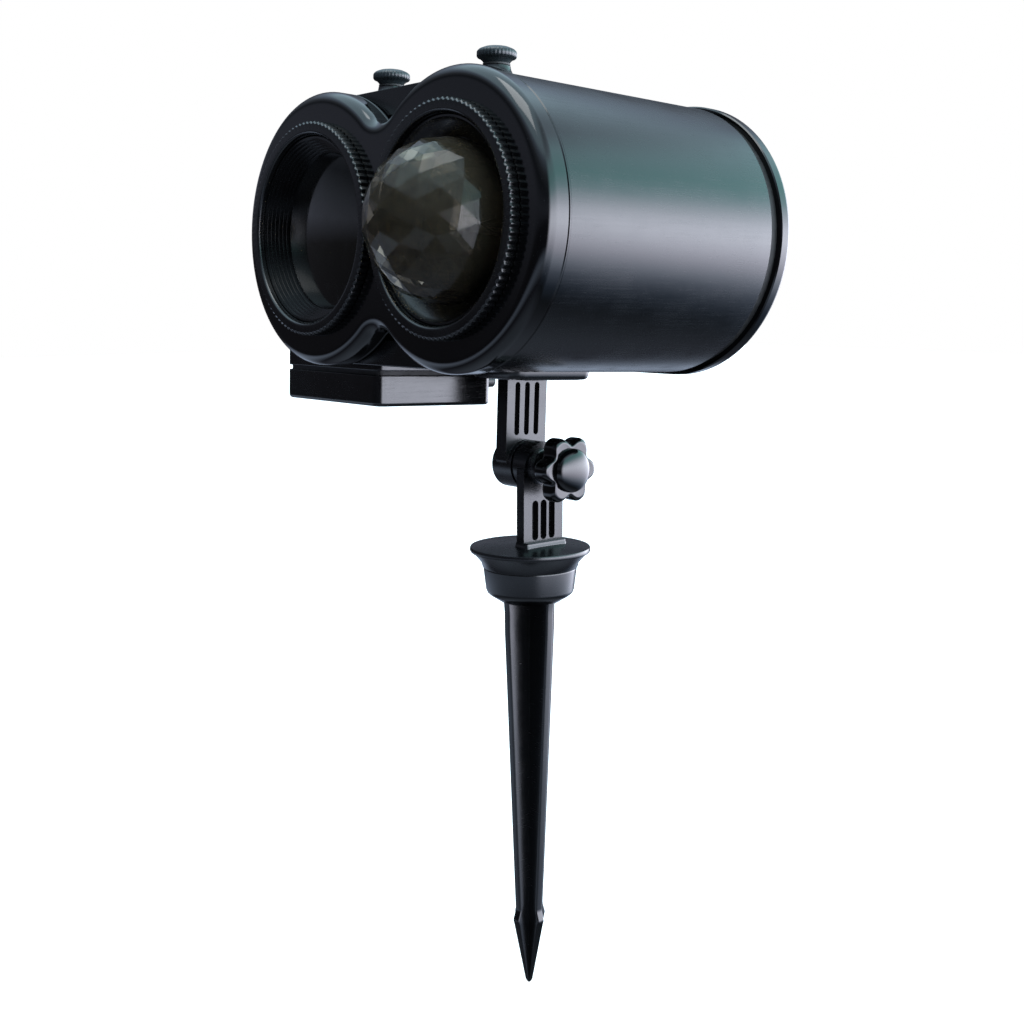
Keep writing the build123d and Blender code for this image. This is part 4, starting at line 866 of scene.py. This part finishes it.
def blade_slots(piece, width, length, pitch, height, bottom, face, place):
    """Three upright grooves side by side, cut into a face of an arm's blade."""
    for step in (-1, 0, 1):
        outline = upright_slot(width, length, pitch * step, height)
        cut(piece, prism("slot", outline, bottom, face + 1, place))


def star_knob():
    """Six-lobed clamping knob with a big domed hub."""
    low, high = head_box("star_knob")
    start, end = low.x, high.x
    reach = (high.y - low.y) / 2
    star_start, star_end = end - 12.0, end - 4.2
    lobes = ridged(6, 3.3, 0, steps=24, power=1.4)(reach)
    bend = 2.2

    def star(radius):
        return [(x * radius / reach, y * radius / reach) for x, y in lobes]

    profile = [(reach - 3.4, star_start), (reach - 1.0, star_start + 0.3), (reach - 0.3, star_start + 1.0)]
    profile += [(reach, star_start + 2.0), (reach, star_end - 2.4)]
    profile += arc((reach - bend, star_end - bend), bend, 0.1, pi / 2, 7)
    profile += [(reach - 4.6, star_end - 0.15)]
    piece = sweep("star_knob_grip", star, profile, BOLT)
    hub, shoulder = 8.8, star_end + 0.7
    crown = [(hub - 0.6, star_end - 1.2), (hub, star_end - 0.2), (hub, shoulder)]
    turns = [pi * step / 24 for step in range(1, 12)]
    crown += [(hub * cos(turn), shoulder + (end - shoulder) * sin(turn)) for turn in turns]
    crown += [(0, end)]
    join(piece, lathe("hub", crown, BOLT, count=72))
    join(piece, lathe("neck", [(7.0, start), (7.0, star_start + 0.5)], BOLT, count=64))
    insert = head_box("knob_insert")[1]
    drill(piece, insert.y + CONTACT_FIT, start - 1, insert.x, BOLT, count=48)
    drill(piece, BOLT_RADIUS + RUNNING_GAP, start - 1, start + 15.5, BOLT, count=48)
    finish_piece(piece, "knob", "gloss_black", "star_knob", angle=38)


def upper_arm():
    """Moulded arm: pivot eye, ribbed blade and dished saddle."""
    low, high = head_box("upper_arm")
    top = high.z
    blade = (-9.5, -3.1)
    foot, head = 0.5, top - 0.5
    outline = rounded_rectangle(ARM_WIDTH, head - foot, 1.2, 4)()
    piece = prism("upper_arm_bracket", outline, *blade, shifted(BOLT, y=(head + foot) / 2))
    eye_start = head_box("tilt_bolt")[0].x - 0.2
    eye_end = head_box("friction_washer")[0].x
    join(piece, lathe("eye", [(EYE_RADIUS, eye_start), (EYE_RADIUS, eye_end)], BOLT, count=96))
    blade_slots(piece, 2.6, 21.6, 5.2, 22.8, blade[1] - 3.0, blade[1], BOLT)
    place = shifted(HEAD, x=(low.x + high.x) / 2, y=(low.y + high.y) / 2)
    saddle = rounded_rectangle(high.x - low.x, high.y - low.y, 5.2)
    dish = [(-2.6, top - 4.6), (-1.3, top - 4.3), (-0.6, top - 3.6), (-0.2, top - 2.6)]
    dish += [(0, top - 1.4), (0, top - 0.3), (-0.3, top)]
    join(piece, sweep("saddle", saddle, dish, place))
    drill(piece, BOLT_RADIUS + CONTACT_FIT, eye_start - 1.5, 0, BOLT, count=48)
    hex_corner, hex_depth = 5.85, 4.3
    drill(piece, hex_corner, eye_start - 1.5, eye_start + hex_depth, BOLT, count=6)
    pocket_radius, plate = 3.05, 2.4
    for spot in four_corners(place, 10.5, 16.5):
        drill(piece, SCREW_CORE + CONTACT_FIT, top - 6, top + 1, spot, count=24)
        drill(piece, pocket_radius, top - 6, top - plate, spot)
    soften(piece, 0.35)
    finish_piece(piece, "head", "arm_black", "upper_arm")


def lower_arm():
    """Flange with a crowned top, stepped plinth, ribbed blade and pivot eye."""
    low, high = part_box("lower_arm")
    hinge, flange, plug_foot = HINGE.z / MM, high.y / MM, low.z / MM
    plug, neck = 14.0, 19.6
    rim, cup_top, crown = 21.0, 12.3, 22.6
    profile = [(0, plug_foot), (plug - 0.6, plug_foot), (plug, plug_foot + 0.6), (plug, cup_top)]
    profile += [(neck, cup_top), (neck + 0.2, cup_top + 0.2), (neck + 0.8, rim - 6.4)]
    profile += [(flange - 1.8, rim - 3.2), (flange - 0.4, rim - 2.3), (flange, rim - 1.7)]
    profile += [(flange, rim - 0.7), (flange - 0.25, rim - 0.15), (flange - 0.8, rim)]
    for share in (1 - step / 6 for step in range(1, 7)):
        profile.append((0.968 * flange * share, crown - (crown - rim) * share ** 2))
    piece = lathe("lower_arm_bracket", profile, STAKE, count=144)
    plinth = [(0.3, 18.0), (0.3, 22.6), (0, 23.2), (0, 23.9), (-0.4, 24.3)]
    join(piece, sweep("plinth", rounded_rectangle(7.6, 21.8, 1.2, 4), plinth, shifted(STAKE, x=6.6)))
    blade = (3.8, 8.3)
    foot = 20.0
    column = rounded_rectangle(ARM_WIDTH, hinge - foot, 1.0, 4)()
    join(piece, prism("column", column, *blade, shifted(STAKE_RIGHT, y=(hinge + foot) / 2)))
    level_bolt = shifted(STAKE_RIGHT, y=hinge)
    eye_start = head_box("friction_washer")[1].x
    join(piece, lathe("eye", [(EYE_RADIUS, eye_start), (EYE_RADIUS, blade[1])], level_bolt, count=96))
    blade_slots(piece, 3.3, 16.4, 4.5, 33.0, blade[1] - 2.9, blade[1], STAKE_RIGHT)
    drill(piece, BOLT_RADIUS + RUNNING_GAP, 0, 12, level_bolt, count=48)
    drill(piece, SCREW_CORE + CONTACT_FIT, 8, 15, spike_screw_line(), count=24)
    soften(piece, 0.35)
    finish_piece(piece, "stake", "arm_black", "lower_arm")


def spike_screw_line():
    """Place along the screw that holds the flange's plug in the cup."""
    low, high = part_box("spike_screw")
    return shifted(STAKE_LEFT, y=(low.z + high.z) / 2 / MM)


def ground_spike():
    """Cup over a tapering cross-finned spike with a barb and a sharp tip."""
    low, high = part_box("ground_spike")
    tip, top = low.z / MM, high.z / MM
    bore, floor = 14.1, 3.4
    cup = [(0, -2.0), (12.5, -2.0), (16.6, 0.6), (17.8, 1.6), (18.35, 3.0), (19.4, top - 0.5), (19.2, top)]
    cup += [(bore + 0.3, top), (bore, top - 0.4), (bore, floor), (0, floor)]
    piece = lathe("ground_spike_finned", cup, STAKE, count=144)
    shoulder, taper, barb = 13.5, 6.8, -139.5
    fins = [(shoulder, 0.0), (12.9, -6.0)]
    fins += [(shoulder - taper * step / 10, barb * step / 10) for step in range(1, 10)]
    fins += [(6.75, barb + 2.0), (6.9, barb + 0.5), (7.9, barb - 2.5), (8.1, barb - 3.5), (7.6, barb - 5.1)]
    fins += [(1.7, tip + 2.1), (1.2, tip + 0.9), (0.5, tip)]
    join(piece, sweep("fins", lambda half: cross(half, 3.6), fins, STAKE))
    drill(piece, SCREW_CORE + CONTACT_FIT, 12, 21, spike_screw_line(), count=24)
    finish_piece(piece, "stake", "spike_black", "ground_spike", angle=38)


# -------------------------------- control box and power lead
def control_box():
    """Open tray under the skirt with rounded lower edges, posts and screw seats."""
    low, high = head_box("control_box")
    width, length = high.x - low.x, high.y - low.y
    bottom, top = low.z - LENS_HEIGHT, high.z - LENS_HEIGHT
    place = deck_over("control_box")
    outline = rounded_rectangle(width, length, BOX_CORNER)
    bend = 1.6
    profile = [(size - bend, level) for size, level in arc((0, bottom + bend), bend, -pi / 2, 0, 6)]
    profile += [(0, top - 0.4), (-0.15, top - 0.1), (-0.4, top)]
    piece = sweep("control_box_tray", outline, profile, place)
    hollow = [(-BOX_WALL - 0.4, bottom + 2.2), (-BOX_WALL, bottom + 2.6), (-BOX_WALL, top + 1)]
    cut(piece, sweep("hollow", outline, hollow, place))
    inset = 4.4
    for spot in four_corners(place, width / 2 - inset, length / 2 - inset):
        join(piece, lathe("post", [(3.2, bottom + 1), (3.2, top)], spot, count=32))
        drill(piece, 2.6, bottom - 1, bottom + 1.8, spot)
        drill(piece, SCREW_CORE + CONTACT_FIT, bottom - 1, top + 1, spot, count=24)
    drill(piece, GLAND_NECK + CONTACT_FIT, high.y - 5, high.y + 1, CABLE_LINE)
    finish_piece(piece, "head", "housing_black", "control_box", angle=30)


def cable_gland():
    """Gland with a hexagon and a corrugated strain relief."""
    low, high = head_box("cable_gland")
    face = head_box("control_box")[1].y
    bore = CABLE_RADIUS + CONTACT_FIT
    neck = GLAND_NECK - CONTACT_FIT
    nut = 3.6
    profile = [(bore, low.y), (neck, low.y), (neck, face), (4.8, face), (4.8, face + nut)]
    for step in range(3):
        start = face + nut + 2.1 * step
        rib, groove = 4.6 - 0.3 * step, 3.6 - 0.2 * step
        profile += [(rib, start), (rib, start + 1.2), (groove, start + 1.4), (groove, start + 1.9)]
    profile += [(3.0, high.y), (bore, high.y)]
    piece = lathe("cable_gland_relief", profile, CABLE_LINE, closed=True, count=64)
    flats = [(5.4, face), (5.8, face + 0.4), (5.8, face + nut - 0.5), (5.4, face + nut - 0.1)]
    hexagon = lathe("hexagon", flats, CABLE_LINE, count=6)
    join(piece, drill(hexagon, 4, face - 1, face + 5, CABLE_LINE, count=48))
    finish_piece(piece, "head", "rubber", "cable_gland", angle=30)


def power_cable():
    """Stub of round cable."""
    low, high = CABLE
    profile = [(CABLE_RADIUS, low.y + (high.y - low.y) * step / 12) for step in range(13)]
    piece = lathe("power_cable_stub", profile, CABLE_LINE, count=48)
    finish_piece(piece, "head", "cable", "power_cable")


def power_plug():
    """Moulded barrel plug with a ribbed grip."""
    low, high = head_box("power_plug")
    start, end = low.y, high.y
    grip = (high.x - low.x) / 2
    barrel, pin = 2.75, 1.05
    profile = [(CABLE_RADIUS + 0.9, start), (3.8, start + 0.4), (4.2, start + 4.6)]
    profile += [(grip - 0.5, start + 5.2), (grip, start + 6)]
    for step in range(5):
        rib = start + 7.2 + 1.5 * step
        profile += [(grip, rib), (grip - 0.35, rib + 0.3), (grip - 0.35, rib + 0.7), (grip, rib + 1.0)]
    profile += [(grip, start + 15.4), (grip - 0.6, start + 16), (barrel, start + 16), (barrel, end - 0.3)]
    profile += [(barrel - 0.25, end), (pin, end), (pin, end - 9), (0, end - 9)]
    piece = lathe("power_plug_body", profile, CABLE_LINE, count=64)
    finish_piece(piece, "head", "plug", "power_plug", angle=30)


front_cover()
main_housing()
rear_cover()
turning_ring("focus_ring", "focus_ring", LEFT)
turning_ring("dome_ring", "dome_ring", RIGHT)
lens_dish()
projection_lens()
dome_dish()
wave_dome()
for side in SIDES:
    thumb_screw(side)
star_knob()
upper_arm()
lower_arm()
ground_spike()
control_box()
cable_gland()
power_cable()
power_plug()

# -------------------------------- studio
PANEL_SIDE = (0.75, 0.66, 0.0)  # the pale panel stands to the right and behind
ROOM = [  # (sine of elevation, colour) away from the panel
    (-0.90, (0.30, 0.36, 0.45)),
    (-0.60, (0.05, 0.05, 0.07)),
    (-0.38, (0.70, 0.85, 1.10)),
    (-0.30, (0.50, 0.60, 0.80)),
    (-0.22, (0.04, 0.04, 0.05)),
    (0.04, (0.05, 0.05, 0.06)),
    (0.14, (0.22, 0.24, 0.31)),
    (0.22, (0.16, 0.18, 0.23)),
    (0.32, (0.06, 0.07, 0.09)),
    (0.49, (0.21, 0.24, 0.29)),
    (0.63, (0.60, 0.76, 1.00)),
    (0.72, (1.30, 1.80, 2.10)),
]
PANEL = [  # and across the panel
    (-0.90, (0.24, 0.28, 0.36)),
    (-0.67, (0.05, 0.06, 0.07)),
    (-0.57, (0.17, 0.24, 0.36)),
    (-0.46, (0.80, 0.96, 1.28)),
    (-0.36, (2.30, 2.60, 3.20)),
    (-0.25, (4.50, 4.60, 5.50)),
    (-0.12, (7.00, 7.20, 8.40)),
    (0.00, (8.70, 9.10, 10.40)),
    (0.10, (8.20, 8.60, 9.90)),
    (0.22, (4.90, 5.50, 6.30)),
    (0.34, (2.00, 3.20, 3.50)),
    (0.45, (1.20, 2.55, 2.60)),
    (0.60, (1.40, 2.25, 2.50)),
    (0.68, (1.00, 1.30, 1.55)),
    (0.85, (0.45, 0.55, 0.65)),
]


def world_light():
    """Studio in reflections: pale panel on the right, dim room elsewhere; white to the camera."""
    world = bpy.data.worlds.new("studio")
    SCENE.world = world
    world.use_nodes = True
    sky = Nodes(world.node_tree)
    ray = sky.node("TexCoord").outputs["Generated"]
    height = sky.node("SeparateXYZ", Vector=ray).outputs["Z"]

    def ramp(stops):
        made = sky.node("ValToRGB")
        sky.feed(made.inputs[0], sky.spread(height, 0, 1, start=-1))
        elements = made.color_ramp.elements
        for index, (sine, colour) in enumerate(stops):
            element = elements[index] if index < 2 else elements.new(1.0)
            element.position = (sine + 1) / 2
        for element, (sine, colour) in zip(elements, stops):
            element.color = (*colour, 1)
        return made.outputs[0]

    side = sky.node(
        "MapRange", {"interpolation_type": "SMOOTHSTEP"},
        Value=sky.dot(ray, PANEL_SIDE), From_Min=0.30, From_Max=0.62,
    ).outputs[0]
    studio = sky.node("Background", Color=sky.blend(side, ramp(ROOM), ramp(PANEL)))
    backdrop = sky.node("Background", Color=(1, 1, 1, 1))
    sky.node("OutputWorld", Surface=sky.to_camera(backdrop, studio))


def overhead_lamp():
    """Weak square softbox over the head, a little to the front right."""
    centre = (CAD_BOX[0] + CAD_BOX[1]) / 2
    light = bpy.data.lights.new("overhead", "AREA")
    light.size = 0.5
    light.energy = 3
    lamp = bpy.data.objects.new("overhead", light)
    lamp.location = centre + Vector((0.1, -0.2, 0.9))
    lamp.rotation_euler = (centre - lamp.location).to_track_quat("-Z", "Y").to_euler()
    SCENE.collection.objects.link(lamp)


def pale_floor():
    """Large floor under the tip, white to the camera and dark to everything that it could light."""
    level = CAD_BOX[0].z
    reach = 6.0
    points = [(x * reach, y * reach, level) for x, y in ((-1, -1), (1, -1), (1, 1), (-1, 1))]
    floor = new_piece("pale_floor", points, [(0, 1, 2, 3)])
    made = Finish("pale_floor", Roughness=0.9, Emission_Color=(1, 1, 1, 1), Emission_Strength=0.75)
    mottle = made.noise(60, detail=5)
    made.surface(Base_Color=made.blend(mottle, (0.80, 0.80, 0.80), (0.84, 0.84, 0.84)))
    shade = made.node("BsdfDiffuse", Color=(0.03, 0.03, 0.03, 1))
    made.feed(made.output.inputs["Surface"], made.to_camera(made.shader, shade))
    floor.data.materials.append(made.material)
    floor.visible_glossy = False
    floor.visible_transmission = False


def photo_camera():
    """Camera fitted to the photo: to the right of the front, a little above the bracket."""
    azimuth, elevation, distance = radians(49.6), radians(9.32), 0.5447
    arm_low, arm_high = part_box("lower_arm")
    aim = Vector((-0.0049, -0.0057, (arm_low.z + arm_high.z) / 2 + 0.0008))
    lens = bpy.data.cameras.new("camera")
    lens.lens = 46.33
    lens.sensor_width = 36
    lens.clip_start = 0.01
    lens.clip_end = 50
    camera = bpy.data.objects.new("camera", lens)
    level = cos(elevation)
    back = Vector((sin(azimuth) * level, -cos(azimuth) * level, sin(elevation)))
    camera.location = aim + distance * back
    camera.rotation_euler = back.to_track_quat("Z", "Y").to_euler()
    SCENE.collection.objects.link(camera)
    SCENE.camera = camera


world_light()
overhead_lamp()
pale_floor()
photo_camera()
SCENE.view_settings.view_transform = "Standard"
